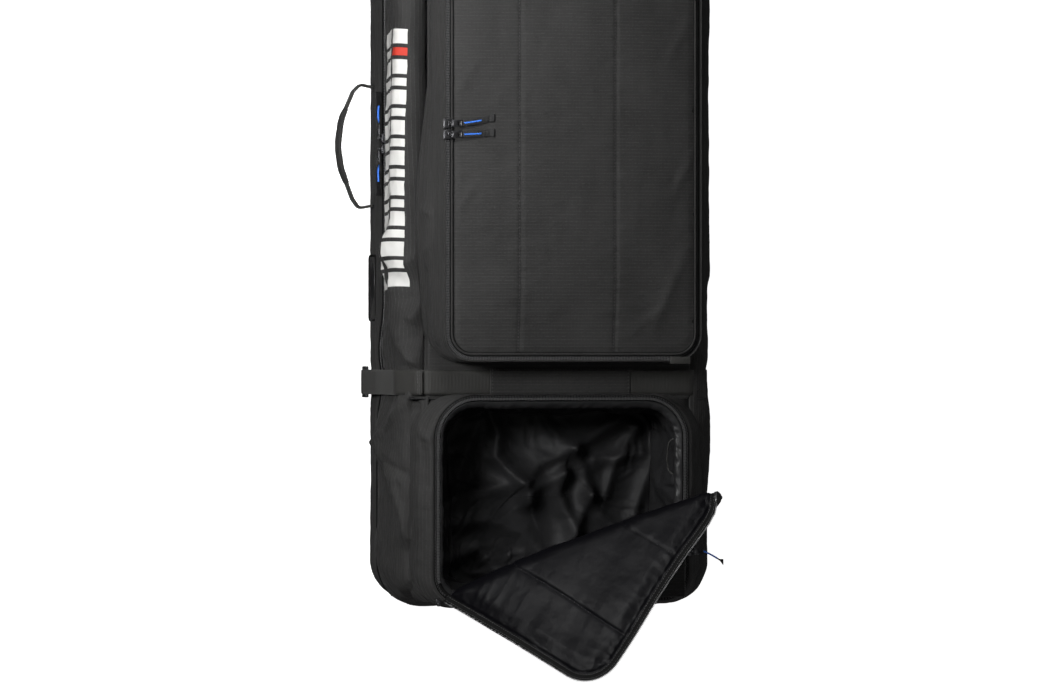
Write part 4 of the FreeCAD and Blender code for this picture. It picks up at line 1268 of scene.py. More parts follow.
FLAP_LOW, FLAP_HIGH = np.array([-189.5, -692.5]), np.array([189.5, -393.5])
FLAP_LEVEL = 276.5
FLAP_RADIUS = 54.5
ROOT_TURN, TIP_TURN = math.radians(11.85), math.radians(38.27)
ROOT_FOLD, TIP_FOLD = math.radians(65.0), math.radians(84.5)
FLAP_SPLIT = math.radians(25.0)
FOLD_HALF = 15.0
TAPE_BAND = 10.0
FLAP_SEAMS = (-95.0, 42.0)


def bend_over(points, turn, angle, half):
    """Bends everything beyond a line through the flap's corner, in a smooth roll of a given half width."""
    along_way = np.array([math.cos(turn), math.sin(turn), 0])
    out_way = np.array([-math.sin(turn), math.cos(turn), 0])
    corner = np.array([FLAP_LOW[0], FLAP_LOW[1], FLAP_LEVEL])
    local = points - corner
    along, out, high = local @ along_way, local @ out_way, local[..., 2]
    half = np.clip(along * 0.22, 0.8, half)
    steps = np.linspace(-1, 1, 81)
    heading = angle * smooth(-1, 1, steps)
    step = steps[1] - steps[0]
    run = np.concatenate([[0], np.cumsum((np.cos(heading[1:]) + np.cos(heading[:-1])) / 2 * step)]) - 1
    rise = np.concatenate([[0], np.cumsum((np.sin(heading[1:]) + np.sin(heading[:-1])) / 2 * step)])
    place = np.clip(out / half, -1, 1)
    beyond = np.maximum(out - half, 0)
    before = np.minimum(out + half, 0)
    way = np.interp(place, steps, heading)
    x = np.interp(place, steps, run) * half + before + beyond * math.cos(angle)
    z = np.interp(place, steps, rise) * half + beyond * math.sin(angle)
    # the roll is shifted so that its far side lies where a sharp fold would put it
    x, z = x - high * np.sin(way), z + high * np.cos(way)
    return (corner + along[..., None] * along_way + x[..., None] * out_way
            + z[..., None] * np.array([0, 0, 1.0]))


def folded(points):
    """Where a point of the closed flap lies when the flap is thrown back."""
    return bend_over(bend_over(points, TIP_TURN, TIP_FOLD, FOLD_HALF), ROOT_TURN, ROOT_FOLD, FOLD_HALF)


def flap_reach(turns):
    """Distance from the flap's lower left corner to its outline, by direction."""
    turns = np.asarray(turns)
    size = FLAP_HIGH - FLAP_LOW
    ray = np.stack([np.cos(turns), np.sin(turns)], axis=-1)
    reach = np.minimum(size[0] / np.maximum(ray[:, 0], 1e-9), size[1] / np.maximum(ray[:, 1], 1e-9))
    for x, y, radius in ((size[0] - FLAP_RADIUS, size[1] - FLAP_RADIUS, FLAP_RADIUS),
                         (FLAP_RADIUS, size[1] - FLAP_RADIUS, FLAP_RADIUS)):
        centre = np.array([x, y])
        dot = ray @ centre
        inside = dot ** 2 - centre @ centre + radius ** 2
        far = dot + np.sqrt(np.maximum(inside, 0))
        spot = ray * reach[:, None]
        corner = (spot[:, 1] > y) & ((spot[:, 0] > x) if x > FLAP_RADIUS + 1 else (spot[:, 0] < x))
        corner |= (turns > math.pi / 2 - 1e-6) & (x == FLAP_RADIUS)
        reach = np.where(corner, np.minimum(far, reach) if x > FLAP_RADIUS + 1 else far, reach)
    return reach


def flap_edge(flat):
    """Distance inward from the three zipped edges of the flap."""
    return edge_distance(flat, FLAP_LOW[0], FLAP_HIGH[0], FLAP_LOW[1] - 200, FLAP_HIGH[1], FLAP_RADIUS)


def flap_padding(flat):
    """How thick the flap is, from its outer cloth to its lining."""
    x, y = flat[..., 0], flat[..., 1]
    deep = deepened(flat)
    edge = flap_edge(flat)
    inner = np.maximum(edge - TAPE_BAND, 0)
    thick = 2.4 + 4.2 * smooth(0, 26, inner) + 1.5 * smooth(0, 5, inner)
    groove = sum(np.exp(-np.abs(x - place) / 1.7) for place in FLAP_SEAMS)
    beside = sum(np.exp(-((x - place) / 17) ** 2) for place in FLAP_SEAMS)
    bands = smooth(0, 9, inner)
    thick = thick - 2.6 * groove * smooth(0, 10, inner)
    thick = thick + 0.55 * ripple(deep, (34, 14, 20), 131, 2) * beside * bands
    left = np.exp(-np.maximum(x - FLAP_LOW[0] - TAPE_BAND, 0) / 38)
    top = np.exp(-np.maximum(FLAP_HIGH[1] - TAPE_BAND - y, 0) / 26)
    edge_folds = (2.0 * crumple(deep, (90, 22, 20), 134, 1) * left
                  + 1.5 * crumple(deep, (19, 60, 20), 137, 1) * top)
    thick = thick + edge_folds * bands
    gather = np.exp(-(inner / 7) ** 2) * smooth(TAPE_BAND - 6, TAPE_BAND + 1, edge)
    thick = thick + 0.7 * ripple(deep, (7, 7, 20), 139, 2) * gather
    soft = 1.1 * ripple(deep, (110, 90, 20), 141, 1) + 0.35 * ripple(deep, (40, 46, 20), 144, 1)
    return np.maximum(thick + soft * bands, 1.6)


def flap_surface(flat):
    """The flap's outer cloth at rest: folded back and gently wavy."""
    x, y = flat[..., 0], flat[..., 1]
    deep = deepened(flat)
    edge = flap_edge(flat)
    wave = 2.6 * ripple(deep, (150, 120, 20), 151, 2) + 0.8 * ripple(deep, (42, 50, 20), 154, 2)
    tip = smooth(20, 190, (flat - FLAP_LOW) @ np.array([-math.sin(TIP_TURN), math.cos(TIP_TURN)]))
    wave = wave * smooth(4, 90, y - FLAP_LOW[1]) - 4.0 * tip * np.exp(-edge / 40)
    crinkle = 0.8 * ripple(deep, (10, 10, 20), 157, 2) * np.exp(-(edge / 9) ** 2)
    near_corner = np.exp(-(np.linalg.norm(flat - FLAP_HIGH, axis=-1) / 56) ** 2)
    level = FLAP_LEVEL + wave + crinkle * (0.25 + 1.2 * near_corner)
    level = level + 2.5 * near_corner * ripple(deep, (22, 22, 9), 159, 2)
    drawn = 19.0 * near_corner
    bent = folded(np.stack([x - drawn * math.cos(TIP_TURN), y - drawn * math.sin(TIP_TURN), level], axis=-1))
    along_way = np.array([math.cos(ROOT_TURN), math.sin(ROOT_TURN)])
    out_way = np.array([-math.sin(ROOT_TURN), math.cos(ROOT_TURN)])
    local = bent[..., :2] - FLAP_LOW
    along, out = local @ along_way, local @ out_way
    arch = 9.0 * np.sin(math.pi * np.clip(along / 420, 0, 1)) * np.exp(-(out / 75) ** 2)
    arch = arch * smooth(0, 45, y - FLAP_LOW[1])
    bent[..., :2] += arch[..., None] * out_way
    return bent


def flap_panel(name, turns):
    """Part of the flap between two directions from its lower left corner."""
    share = np.concatenate([np.linspace(0.012, 0.9, 130), np.linspace(0.9, 1, 26)[1:]])
    radius = share[:, None] * flap_reach(turns)[None]
    flat = FLAP_LOW + np.stack([radius * np.cos(turns), radius * np.sin(turns)], axis=-1)
    lining_slots = np.where(flap_edge(flat) < TAPE_BAND, 2, 1)
    return cloth_object(name, flap_surface(flat), (OUTER, QUILT, TAPE),
                        thickness=flap_padding(flat)[..., None],
                        flip=True, flat=flat, back_slots=lining_slots)


def crease_band(turn):
    """Start and end points, at rest, of the band in which the cloth turns over a crease."""
    out_way = np.array([-math.sin(turn), math.cos(turn), 0])
    along_way = np.array([math.cos(turn), math.sin(turn), 0])
    middle = np.array([*FLAP_LOW, FLAP_LEVEL]) + along_way * 300
    ends = [folded(middle + out_way * reach) for reach in (-FOLD_HALF, FOLD_HALF)]
    return [Vector((end * MM).tolist()) for end in ends]


def flap():
    root_band, tip_band = crease_band(ROOT_TURN), crease_band(TIP_TURN)
    low_turns = np.linspace(0, FLAP_SPLIT, 90)
    high_turns = FLAP_SPLIT + (math.pi / 2 - FLAP_SPLIT) * np.sin(np.linspace(0, math.pi / 2, 250))
    for name, turns, bodies, band, nodes in (
            ("flap_zip_panel", low_turns, ("lid", "flap_root"), root_band,
             ("flap_base_shell", "flap_base_quilt", "flap_root_shell", "flap_root_quilt", "flap_root_tape")),
            ("flap_fold_panel", high_turns, ("flap_root", "flap_tip"), tip_band,
             ("flap_tip_shell", "flap_tip_quilt", "flap_tip_tape"))):
        panel = flap_panel(name, turns)
        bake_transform(panel)
        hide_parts(*nodes)
    for name, bodies, band, keep in (("zip", ("lid", "flap_root"), root_band,
                                      lambda turn: turn <= FLAP_SPLIT),
                                     ("fold", ("flap_root", "flap_tip"), tip_band,
                                      lambda turn: turn > FLAP_SPLIT)):
        flap_sewing(name, keep)


def flap_sewing(name, keep):
    """Stitches, coil and quilting seams of one part of the flap."""
    side, top = FLAP_HIGH
    path = arc_points([(side, FLAP_LOW[1] + 12), (side, top), (-side, top), (-side, FLAP_LOW[1] + 4)],
                      [FLAP_RADIUS, FLAP_RADIUS], 2.4)
    seams = [np.linspace((x, FLAP_LOW[1] + 6), (x, top - TAPE_BAND - 1), 280) for x in FLAP_SEAMS]
    edges = [inward(path, by) for by in (2.2, TAPE_BAND - 1.6)]
    parts = [along_flap(line, 4.4, keep) for line in seams] + [along_flap(line, 4.2, keep) for line in edges]
    teeth = along_flap(inward(path, -0.6), 2.3, keep, teeth=True)
    for kind, part, material, slot in (("stitches", joined([part for part in parts if part]), THREAD,
                                        "outer_fabric"),
                                       ("teeth", teeth, COIL, "zipper_coil")):
        thing = new_object(f"flap_{name}_{kind}", *part, (material,), smooth_faces=False)
        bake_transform(thing)


def inward(path, amount):
    """A plane path moved to its left, which is inward for a counter-clockwise outline."""
    ahead = directions(path)
    return path + np.column_stack([-ahead[:, 1], ahead[:, 0]]) * amount


def flap_frames(flat, lining):
    """Points on the flap's face or lining with outward normals there."""
    spot, across, along = (flap_surface(flat + np.array(shift)) for shift in ((0, 0), (0.8, 0), (0, 0.8)))
    normal = unit(np.cross(across - spot, along - spot))
    if lining:
        return spot - normal * (flap_padding(flat) + 0.15)[:, None], -normal
    return spot, normal



def along_flap(flat, pitch, keep, teeth=False):
    """Stitches in the lining along a line of the closed flap, or coil teeth along its edge."""
    length = run_length(flat)
    places = np.arange(0, length[-1] - (2 if teeth else 0), pitch)
    spots, ahead = points_at(places, length, flat), points_at(places + 1, length, flat)
    chosen = keep(np.arctan2(spots[:, 1] - FLAP_LOW[1], spots[:, 0] - FLAP_LOW[0]))
    if not teeth:
        chosen &= np.linalg.norm(ahead - spots, axis=1) > 0.5
    if not chosen.any():
        return None
    points, normals = flap_frames(spots[chosen], not teeth)
    direction = unit(flap_frames(ahead[chosen], not teeth)[0] - points)
    if teeth:
        return bars(points - normals * 1.2, np.cross(normals, direction), normals, 3.4, 1.45, 1.5)
    return bars(points, direction, normals, 2.7, 0.75, 0.6)



# ---------------------------------------------------------------- compression straps


def strap_line():
    """The strap's middle line in x and z, from its right end, over the lid, to its buckle."""
    points = [(244, 124), (244, 216), (207, 253.2), (-207, 253.2), (-244.5, 216), (-245, 96), (-250.3, 42)]
    return arc_points(points, [14, 12, 12, 14, 90], 3.0)


def upright(line, y):
    """A plane line of x and z as points at one y."""
    return np.column_stack([line[:, 0], np.full(len(line), y), line[:, 1]])


def straps():
    for end, sign in (("lower", -1), ("upper", 1)):
        y = sign * STRAP_Y
        wavy = lambda grid, seed=161 + sign: 0.35 * ripple(grid, (50, 60, 50), seed, 2)
        angles = np.linspace(0, math.pi, 12)[1:]
        loop = np.column_stack([-253.6 + 3.3 * np.cos(angles), 42 - 3.3 * np.sin(angles)])
        tail = arc_points([(-256.9, 42), (-250.5, 100), (-248.6, 214), (-224, 249.5), (-216, 255.5)],
                          [90, 16, 20])
        path = upright(np.vstack([strap_line(), loop, tail[1:]]), y)
        strap = ribbon(f"strap_webbing_{end}", path, (0, -1, 0), 38, 2.0, WEBBING, relief=wavy)
        finish_piece(strap, "lid", "webbing", f"compression_strap_{end}")
        rows = [seam(np.linspace((x, y - 16, z), (x, y + 16, z), 8), (-0.5, 0, 0.8))
                for x, z in ((-219.5, 254.3), (-222.5, 252.2))]
        rows += [seam(np.linspace((x, y - 19, 255.2), (x, y + 19, 255.2), 8), UP) for x in (106.5, -106.5)]
        rows += [seam(np.linspace((-106, y + edge, 252.6), (106, y + edge, 252.6), 60), UP)
                 for edge in (-20, 20)]
        sewn_piece(f"strap_stitches_{end}", rows, "lid")
        sleeve(end, y)
        buckle(end, y)
    for number, (end, y) in enumerate((("lower", -STRAP_Y), ("upper", STRAP_Y))):
        low = upright(arc_points([(-236, 8), (-243, 22), (-249.6, 31)], [30], 2.0), y)
        angles = np.linspace(math.radians(10), math.radians(190), 14)
        over = upright(np.column_stack([-253.4 + 3.2 * np.cos(angles), 30.5 + 3.2 * np.sin(angles)]), y)
        front = upright(arc_points([(-256.4, 28), (-247, 17), (-240, 8)], [30], 2.0), y)
        anchor = ribbon(f"strap_anchor_{end}", np.vstack([low[:-1], over, front]), (0, 1, 0), 37, 1.6,
                        WEBBING)
        finish_piece(anchor, "base", "webbing", *(() if number else ("strap_anchor_loops",)))
        path = upright(arc_points([(241.4, 7), (241.8, 50), (241.4, 104)], [200], 4.0), y)
        fixed = ribbon(f"strap_end_{end}", path, (0, 1, 0), 38, 2.0, WEBBING)
        finish_piece(fixed, "base", "webbing", *(() if number else ("strap_fixed_ends",)))


def sleeve(end, y):
    """The fabric sleeve over the strap's middle."""
    across = np.linspace(-21.8, 21.8, 31)
    level = 251.3 + 4.3 * (1 - smooth(16.5, 21.6, np.abs(across)))
    grid = np.stack([np.linspace((-110, y + place, height), (110, y + place, height), 90)
                     for place, height in zip(across, level)])
    ends = np.exp(-((np.abs(grid[..., 0]) - 108) / 5) ** 2)
    grid = lifted(grid, 0.45 * ripple(grid, (24, 30, 20), 171) - 0.5 * ends)
    piece = cloth_object(f"strap_cover_{end}", grid, (OUTER, LINING), thickness=1.0, flat=grid[..., :2])
    finish_piece(piece, "lid", "outer_fabric", f"strap_sleeve_{end}")


def buckle(end, y):
    """A three-bar buckle of coated metal."""
    x, half = -253.6, 21.5
    low, high = 30.0, 54.0
    middle = (low + high) / 2
    loop = arc_points([(y, low), (y + half, low), (y + half, high), (y - half, high), (y - half, low),
                       (y, low)],
                      [3.2, 3.2, 3.2, 3.2], 1.2)[:-1]
    frame_path = np.column_stack([np.full(len(loop), x), loop])
    parts = [tube(frame_path, 2.05, 12, closed=True, up=(1, 0, 0)),
             tube(np.linspace((x, y - half, middle), (x, y + half, middle), 12), 1.9, 12)]
    for side in (y - half, y + half):
        parts.append(rounded_block((x - 2.4, side - 2.6, low - 1), (x + 2.4, side + 2.6, high + 1), 1.2, 3))
    solid_piece(f"strap_buckle_frame_{end}", joined(parts), METAL, "lid", "hardware", f"strap_buckle_{end}")


# ---------------------------------------------------------------- zipper sliders


def placed(part, turn, place):
    """Vertices turned by three axis vectors and moved."""
    vertices, faces = part
    return vertices @ np.array(turn, float) + np.array(place, float), faces


def slider(name, along, across, tab, turn, place, sway=0.0, twist=0.0, cord=False):
    """A slider, its puller and its tab. Along the pull is +X, along the pin is Y and outwards is +Z."""
    half_x, half_y = along / 2, across / 2
    body = [rounded_block((-half_x, -half_y, 0.2), (half_x, half_y, 2.2), 0.9, 3),
            rounded_block((-half_x + 0.6, -half_y + 0.6, 2.6), (half_x - 0.6, half_y - 0.6, 5.0), 1.1, 3),
            rounded_block((-1.6, -half_y + 1.5, 1.0), (1.6, half_y - 1.5, 4.0), 0.6, 2)]
    for side in (-1, 1):
        body.append(rounded_block((-1.9, side * 3.5 - 0.65, 4.2), (1.9, side * 3.5 + 0.65, 9.4), 0.55, 2))
    body.append(tube(np.array([(0, y, 8.3) for y in np.linspace(-4.1, 4.1, 6)]), 1.15, 12))
    angles = np.linspace(0, 2 * math.pi, 20, endpoint=False)
    eye = np.column_stack([1.95 * np.cos(angles), np.zeros(20), 8.3 + 1.95 * np.sin(angles)])
    pull = [tube(eye, 0.75, 8, closed=True, up=(0, 1, 0)),
            rounded_block((1.4, -2.3, 7.2), (6, 2.3, 9.4), 0.8, 2)]
    for side in (-1, 1):
        pull.append(rounded_block((4.0, side * 4.2 - 1.3, 6.9), (20.4, side * 4.2 + 1.3, 9.7), 1.0, 3))
    pull += [rounded_block((4.0, -5.4, 7.0), (14.6, 5.4, 9.6), 1.1, 3),
             rounded_block((5.6, -3.6, 7.2), (13.0, 3.6, 10.1), 0.9, 3),
             rounded_block((18.2, -5.5, 6.9), (21.0, 5.5, 9.7), 1.1, 3)]

    def local(part):
        return placed(part, turn, place)
    solid_piece(f"{name}_slider", joined(map(local, body)), METAL, name, "hardware", f"{name}_body")
    solid_piece(f"{name}_lever", joined(map(local, pull)), METAL, f"{name}_pull", "hardware",
                f"{name}_puller")
    start, end = 16.4, 21.0 + tab
    rise = np.linspace(0, 1, 40)
    path = np.column_stack([start + (end - start) * rise, sway * rise ** 1.3, 8.3 + 0.7 * np.sin(rise * 5)])
    widths = np.linspace(-0.5, 0.5, 9)
    spread = 8.0 + 2.4 * smooth(0, 0.12, rise) + 1.6 * smooth(0.86, 0.93, rise)
    if cord:
        spread = 2.6 + 6.5 * smooth(0.78, 1.0, rise) ** 1.5
    turn_by = twist * smooth(0.05, 0.4, rise)
    wide = np.column_stack([np.zeros(40), -np.cos(turn_by), np.sin(turn_by)])
    outwards = np.column_stack([np.zeros(40), np.sin(turn_by), np.cos(turn_by)])
    grid = path[:, None] + wide[:, None] * (widths[None, :, None] * spread[:, None, None])
    crown = 0.8 - 0.35 * (np.abs(widths) * 2) ** 4 + 0.7 * smooth(0.88, 0.92, rise)[:, None] * (not cord)
    grid = grid + outwards[:, None] * crown[..., None]
    grid = (grid.reshape(-1, 3) @ np.array(turn, float) + np.array(place, float)).reshape(grid.shape)
    flat = np.stack(np.broadcast_arrays((rise * (end - start))[:, None], widths[None] * 10), axis=-1)
    thickness = 1.7 + 1.4 * smooth(0.88, 0.92, rise)[:, None, None] * (not cord)
    ribbon_piece = cloth_object(f"{name}_ribbon", grid, (PULL, PULL), thickness=thickness, flat=flat)
    finish_piece(ribbon_piece, f"{name}_pull", "pull_tab", f"{name}_tab")
    picked = slice(5, 25) if not cord else slice(4, 30)
    blue = [local(tube(path[picked] + outwards[picked] * side * 0.7, 1.25, 8, flat=0.7,
                       up=tuple(outwards[12])))
            for side in (-1, 1)]
    solid_piece(f"{name}_mark", joined(blue), BLUE, f"{name}_pull", "pull_tab")


def sliders():
    gap = 8.25
    for end, sign in (("upper", 1), ("lower", -1)):
        slider(f"main_slider_{end}", 15, 14, 50, ((0, sign, 0), (0, 0, sign), (-1, 0, 0)),
               (-242.0, -2.0 + sign * gap, ZIP_LEVEL), twist=-sign * 1.0)
        slider(f"pocket_slider_{end}", 14, 15, 50, ((1, 0, 0), (0, 1, 0), (0, 0, 1)),
               (-196.0, 12.5 + sign * gap, 331.4), sway=9.0 if sign > 0 else 3.0)
    slider("flap_slider", 14, 15, 31, ((1, 0, 0), (0, 1, 0), (0, 0, 1)), (197.0, -622.0, 275.4), sway=-18.0,
           cord=True)


# ---------------------------------------------------------------- handles and holder


GRIP_SIDES = 32


def handle_line():
    """The handle's middle line in its own plane: along the bag and out from it."""
    points = [(-91, 0), (-95, 22), (-81, 32), (-34, 50), (0, 55), (40, 50), (84, 31), (95, 20), (91, 0)]
    return arc_points(points, [9, 9, 60, 90, 60, 9, 9], 2.0)


def handle(name, origin, along, out):
    """Webbing with a padded grip on its middle."""
    along, out = np.array(along, float), np.array(out, float)
    line = handle_line()
    path = np.array(origin) + line[:, :1] * along + line[:, 1:] * out
    width = 12 + 8 * smooth(4, 30, line[:, 1])
    across = np.linspace(-0.5, 0.5, 9)
    thin = ((np.abs(across) * 2) ** 6)[None, :, None]
    grid = path[:, None] + UP * (across[None, :, None] * width[:, None, None])
    grid = grid + grid_normals(grid, False) * (2.2 - 0.9 * thin)
    length = run_length(path)
    flat = np.stack(np.broadcast_arrays(length[:, None], across[None] * 22), axis=-1)
    strip = cloth_object(f"{name}_strip", grid, (WEBBING, WEBBING), thickness=4.4 - 1.8 * thin, flat=flat)
    finish_piece(strip, name, "webbing", f"{name}_webbing")
    gripped = np.abs(line[:, 0]) <= 62
    middle = path[gripped]
    angles = np.linspace(0, 2 * math.pi, GRIP_SIDES + 1)[:-1]
    away = np.cross(directions(middle), UP)
    fullness = (1 - np.abs(np.linspace(-1, 1, len(middle))) ** 10 * 0.45)[:, None]
    deep, tall = (reach * (np.sign(value) * np.abs(value) ** 0.75)[None] * fullness
                  for reach, value in ((3.9, np.cos(angles)), (13.0, np.sin(angles))))
    rings = middle[:, None] + away[:, None] * deep[..., None] + UP * tall[..., None]
    rings = rings + 0.25 * ripple(rings, (18, 12, 18), 181)[..., None] * away[:, None]
    faces = [list(face) for face in grid_faces(len(middle), GRIP_SIDES, True)]
    faces += [list(range(GRIP_SIDES))[::-1], list((len(middle) - 1) * GRIP_SIDES + np.arange(GRIP_SIDES))]
    uvs = grip_uvs(length[gripped], GRIP_SIDES, 70.0, faces)
    grip = new_object(f"{name}_padded_grip", rings.reshape(-1, 3), faces, (OUTER,), uvs)
    finish_piece(grip, name, "outer_fabric", f"{name}_grip")
    rows = [seam((middle + UP * offset + away * 1.6)[3:-3], away[len(away) // 2]) for offset in (-12.2, 12.2)]
    sewn_piece(f"{name}_grip_stitches", rows, name)


def grip_uvs(length, sides, girth, faces):
    """Face-corner cloth coordinates of a tube with end caps."""
    uvs = []
    for face in faces:
        if len(face) == 4:
            turns = [index % sides for index in face]
            wraps = max(turns) == sides - 1 and min(turns) == 0
            for index in face:
                turn = index % sides
                turn = sides if wraps and turn == 0 else turn
                uvs.append((length[index // sides], turn / sides * girth))
        else:
            uvs += [(0.0, 0.0)] * len(face)
    return np.array(uvs)


def handle_patches():
    """Sewn webbing patches that hold the handles' ends."""
    patches, rows = [], []
    for side in (-1, 1):
        centre = -4 + side * 90
        low, high = centre - 14, centre + 14
        path = np.linspace((-241.4, low, 60.0), (-241.4, high, 60.0), 14)
        patches.append(ribbon(f"handle_patch_side_{side + 2}", path, (0, 0, 1), 30, 1.8, WEBBING, columns=11))
        box = np.array([(-242.5, low + 3, 48), (-242.5, high - 3, 48), (-242.5, high - 3, 72),
                        (-242.5, low + 3, 72),
                        (-242.5, low + 3, 48), (-242.5, high - 3, 72)])
        rows.append(seam(box, (-1.0, 0, 0)))
        centre = side * 90
        path = np.linspace((centre - 14, 701.4, 60.0), (centre + 14, 701.4, 60.0), 14)
        patches.append(ribbon(f"handle_patch_top_{side + 2}", path, (0, 0, 1), 30, 1.8, WEBBING, columns=11))
        box = np.array([(centre - 11, 702.5, 48), (centre + 11, 702.5, 48), (centre + 11, 702.5, 72),
                        (centre - 11, 702.5, 72), (centre - 11, 702.5, 48), (centre + 11, 702.5, 72)])
        rows.append(seam(box, (0, 1.0, 0)))
    for patch in patches:
        finish_piece(patch, "base", "webbing")
    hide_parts("handle_anchors")
    sewn_piece("handle_patch_stitches", rows, "base", "webbing")


def id_pocket():
    """A flat card holder with a bound edge and a window."""
    low, high = box_mm("id_holder")
    block = rounded_block((low[0] + 3.2, low[1], low[2]), high, 1.6, 3)
    solid_piece("card_pocket", block, OUTER, "base", "outer_fabric", "id_holder")
    middle = (low[1] + high[1]) / 2
    loop = arc_points([(middle, low[2]), (high[1], low[2]), (high[1], high[2]), (low[1], high[2]),
                       (low[1], low[2]),
                       (middle, low[2])], [6, 6, 6, 6], 2.0)[:-1]
    path = np.column_stack([np.full(len(loop), low[0] + 3.4), loop])
    binding = tube(path, 2.1, 10, closed=True, up=(1, 0, 0))
    solid_piece("card_pocket_binding", binding, TAPE, "base", "zipper_tape")
    window = rounded_block((low[0] + 2.2, low[1] + 9, low[2] + 8), (low[0] + 3.6, high[1] - 9, high[2] - 8),
                           0.6, 2)
    solid_piece("card_pocket_window", window, PLASTIC, "base", "moulded_plastic")


# ---------------------------------------------------------------- printed graphic


# How many bars, and each bar's parts: from and to up the wall
BAR_COUNT = 17
BAR_PARTS = ((10, 74), (82, 116))


def graphic(grid):
    """Plain slanted bars printed along the lid's left wall."""
    columns = np.flatnonzero((grid[0, :, 0] < -HALF_WIDTH + 5)
                             & (np.abs(grid[0, :, 1]) < HALF_LENGTH - CORNER))
    wall = grid[:, columns]
    order = np.argsort(wall[0, :, 1])
    wall = wall[:, order]
    run = wall[0, :, 1]
    girth = run_length(wall.mean(axis=1))

    def on_wall(y, height):
        column = np.interp(y, run, np.arange(len(run)))
        row = np.interp(height, girth, np.arange(len(girth)))
        c, r = np.floor(column).astype(int), np.floor(row).astype(int)
        c, r = np.clip(c, 0, len(run) - 2), np.clip(r, 0, len(girth) - 2)
        cf, rf = (column - c)[..., None], (row - r)[..., None]
        return ((wall[r, c] * (1 - cf) + wall[r, c + 1] * cf) * (1 - rf)
                + (wall[r + 1, c] * (1 - cf) + wall[r + 1, c + 1] * cf) * rf)

    pieces, accents = [], []
    top = 166.0
    for index in range(BAR_COUNT):
        length = 12.0 if index % 2 else 22.0
        bottom = top - length
        for low, high in BAR_PARTS:
            across = np.linspace(low, high, 26)
            along = np.linspace(0, 1, 12)
            slant = 9.0 * (across - 62) / 92
            y = bottom + slant[:, None] + along[None] * length
            share = (y + 225) / 391
            height = 3 + 36 * share + (across[:, None] - 10) * (1.04 - 0.19 * share)
            surface = on_wall(y, height)
            normal = grid_normals(surface, False)
            normal *= np.sign(-normal[..., :1])
            chosen = accents if index == 1 and low > 60 else pieces
            chosen.append((surface + normal * 0.45, np.stack([y, height], axis=-1)))
        top = bottom - 6
    for name, parts, material in (("printed_bars", pieces, INK), ("printed_accent", accents, ACCENT)):
        vertices, faces, uvs = [], [], []
        count = 0
        for part, flat in parts:
            vertices.append(part.reshape(-1, 3))
            faces.append(grid_faces(*part.shape[:2], False, count, flip=True))
            uvs.append(grid_uvs(part, False, True, flat))
            count += part.shape[0] * part.shape[1]
        thing = new_object(name, np.vstack(vertices), np.vstack(faces), (material,), np.vstack(uvs))
        finish_piece(thing, "lid", "outer_fabric")


base_shell()
base_pad()
lid_grid = lid_side()
lid_panel()
boot_rim()
pocket_wall()
pocket_door()
main_zipper()
hinge_web()
pocket_hinge_web()
pocket_zipper()
boot_zipper()
boot_hem()
boot_partition()
boot_lining()
flap()
straps()
sliders()
handle("side_handle", (-246.5, -4, 60), (0, 1, 0), (-1, 0, 0))
handle("top_handle", (0, 706.5, 60), (-1, 0, 0), (0, 1, 0))
handle_patches()
id_pocket()
graphic(lid_grid)

# ---------------------------------------------------------------- camera, lights and floor


def camera():
    yaw = math.radians(15)
    right = Vector((math.cos(yaw), 0, math.sin(yaw)))
    ahead = Vector((-math.sin(yaw), 0, math.cos(yaw)))
    up = Vector((0, 1, 0))
    target = right * 0.012 + up * -0.317 + ahead * 0.22
    data = bpy.data.cameras.new("camera")
    data.sensor_width = 36
    data.lens = 180.5
    data.clip_end = 60
    thing = bpy.data.objects.new("camera", data)
    bpy.context.scene.collection.objects.link(thing)
    turn = Matrix((right, up, ahead)).transposed().to_4x4()
    thing.matrix_world = Matrix.Translation(target + ahead * 8) @ turn
    bpy.context.scene.camera = thing


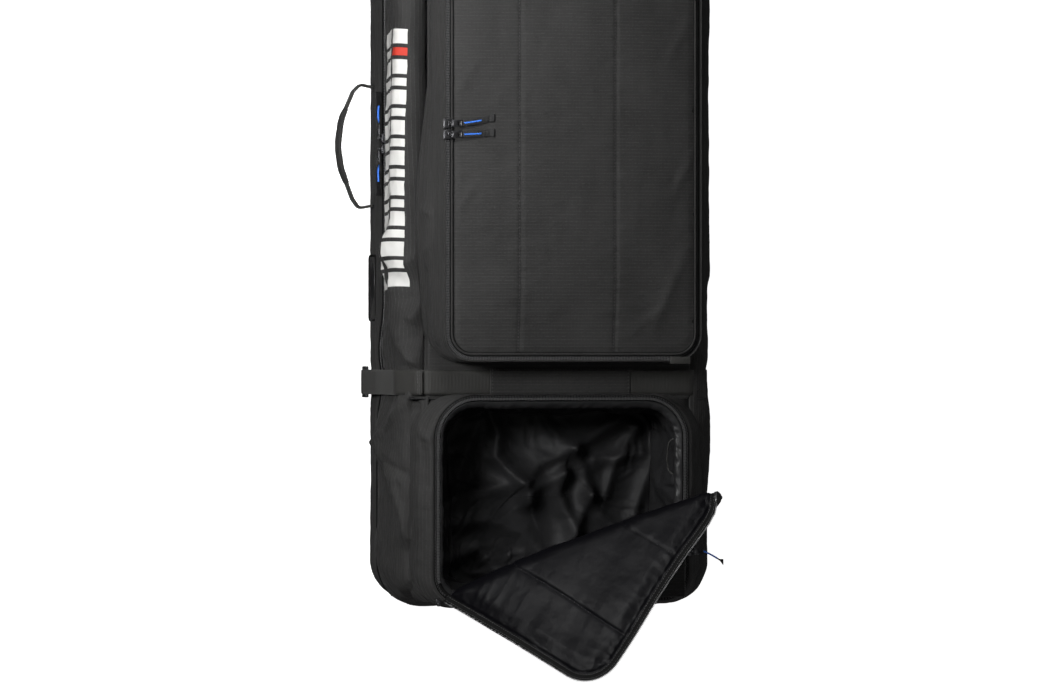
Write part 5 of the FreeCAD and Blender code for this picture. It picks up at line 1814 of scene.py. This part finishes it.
def area_light(name, place, target, size, power):
    data = bpy.data.lights.new(name, "AREA")
    data.shape = "RECTANGLE"
    data.size, data.size_y = size
    data.energy = power
    thing = bpy.data.objects.new(name, data)
    bpy.context.scene.collection.objects.link(thing)
    place, target = Vector(place), Vector(target)
    thing.location = place
    thing.rotation_euler = (target - place).to_track_quat("-Z", "Y").to_euler()


# Each light: name, place, aim, width and height, power
LIGHTS = (
    ("key", (-1.12, -0.03, 1.36), (0.0, -0.25, 0.2), (0.3, 0.4), 19.6),
    ("top", (-0.42, 0.46, 0.95), (-0.15, 0.2, 0.3), (0.3, 0.3), 5.4),
    ("fill", (0.3, -1.2, 3.0), (0, -0.3, 0.2), (1.2, 1.2), 3.6),
    ("right_side", (2.4, -0.1, 0.42), (0.24, 0.0, 0.12), (0.9, 0.5), 3.2),
    ("foot_end", (0.2, -2.7, 0.38), (0.0, -0.7, 0.12), (0.9, 0.5), 7.0),
    ("head_end", (0.1, 2.7, 0.45), (0.0, 0.7, 0.12), (0.9, 0.5), 7.0),
)
ROOM = 14000


def studio():
    world = bpy.data.worlds.new("studio")
    bpy.context.scene.world = world
    world.use_nodes = True
    world.node_tree.nodes["Background"].inputs[0].default_value = (1, 1, 1, 1)
    world.node_tree.nodes["Background"].inputs[1].default_value = 0.022
    for light in LIGHTS:
        area_light(*light)
    n = Nodes("white_floor", (0.8, 0.8, 0.8), 0.9, specular=0.1)
    n.shader.inputs["Emission Color"].default_value = (1, 1, 1, 1)
    n.shader.inputs["Emission Strength"].default_value = 1.0
    pale = n.done()
    square = ((-ROOM, -ROOM), (ROOM, -ROOM), (ROOM, ROOM), (-ROOM, ROOM))
    floor = new_object("floor", [(x, y, -3) for x, y in square], [(0, 1, 2, 3)], (pale,))
    walls = new_object("backdrop", [(x, y, z) for z in (-3, ROOM) for x, y in square],
                       [(0, 1, 5, 4), (1, 2, 6, 5), (2, 3, 7, 6), (3, 0, 4, 7)], (pale,), smooth_faces=False)
    walls.visible_shadow = False
    for thing in (floor, walls):
        thing.visible_diffuse = thing.visible_glossy = False
    bpy.context.scene.view_settings.view_transform = "Standard"


camera()
studio()
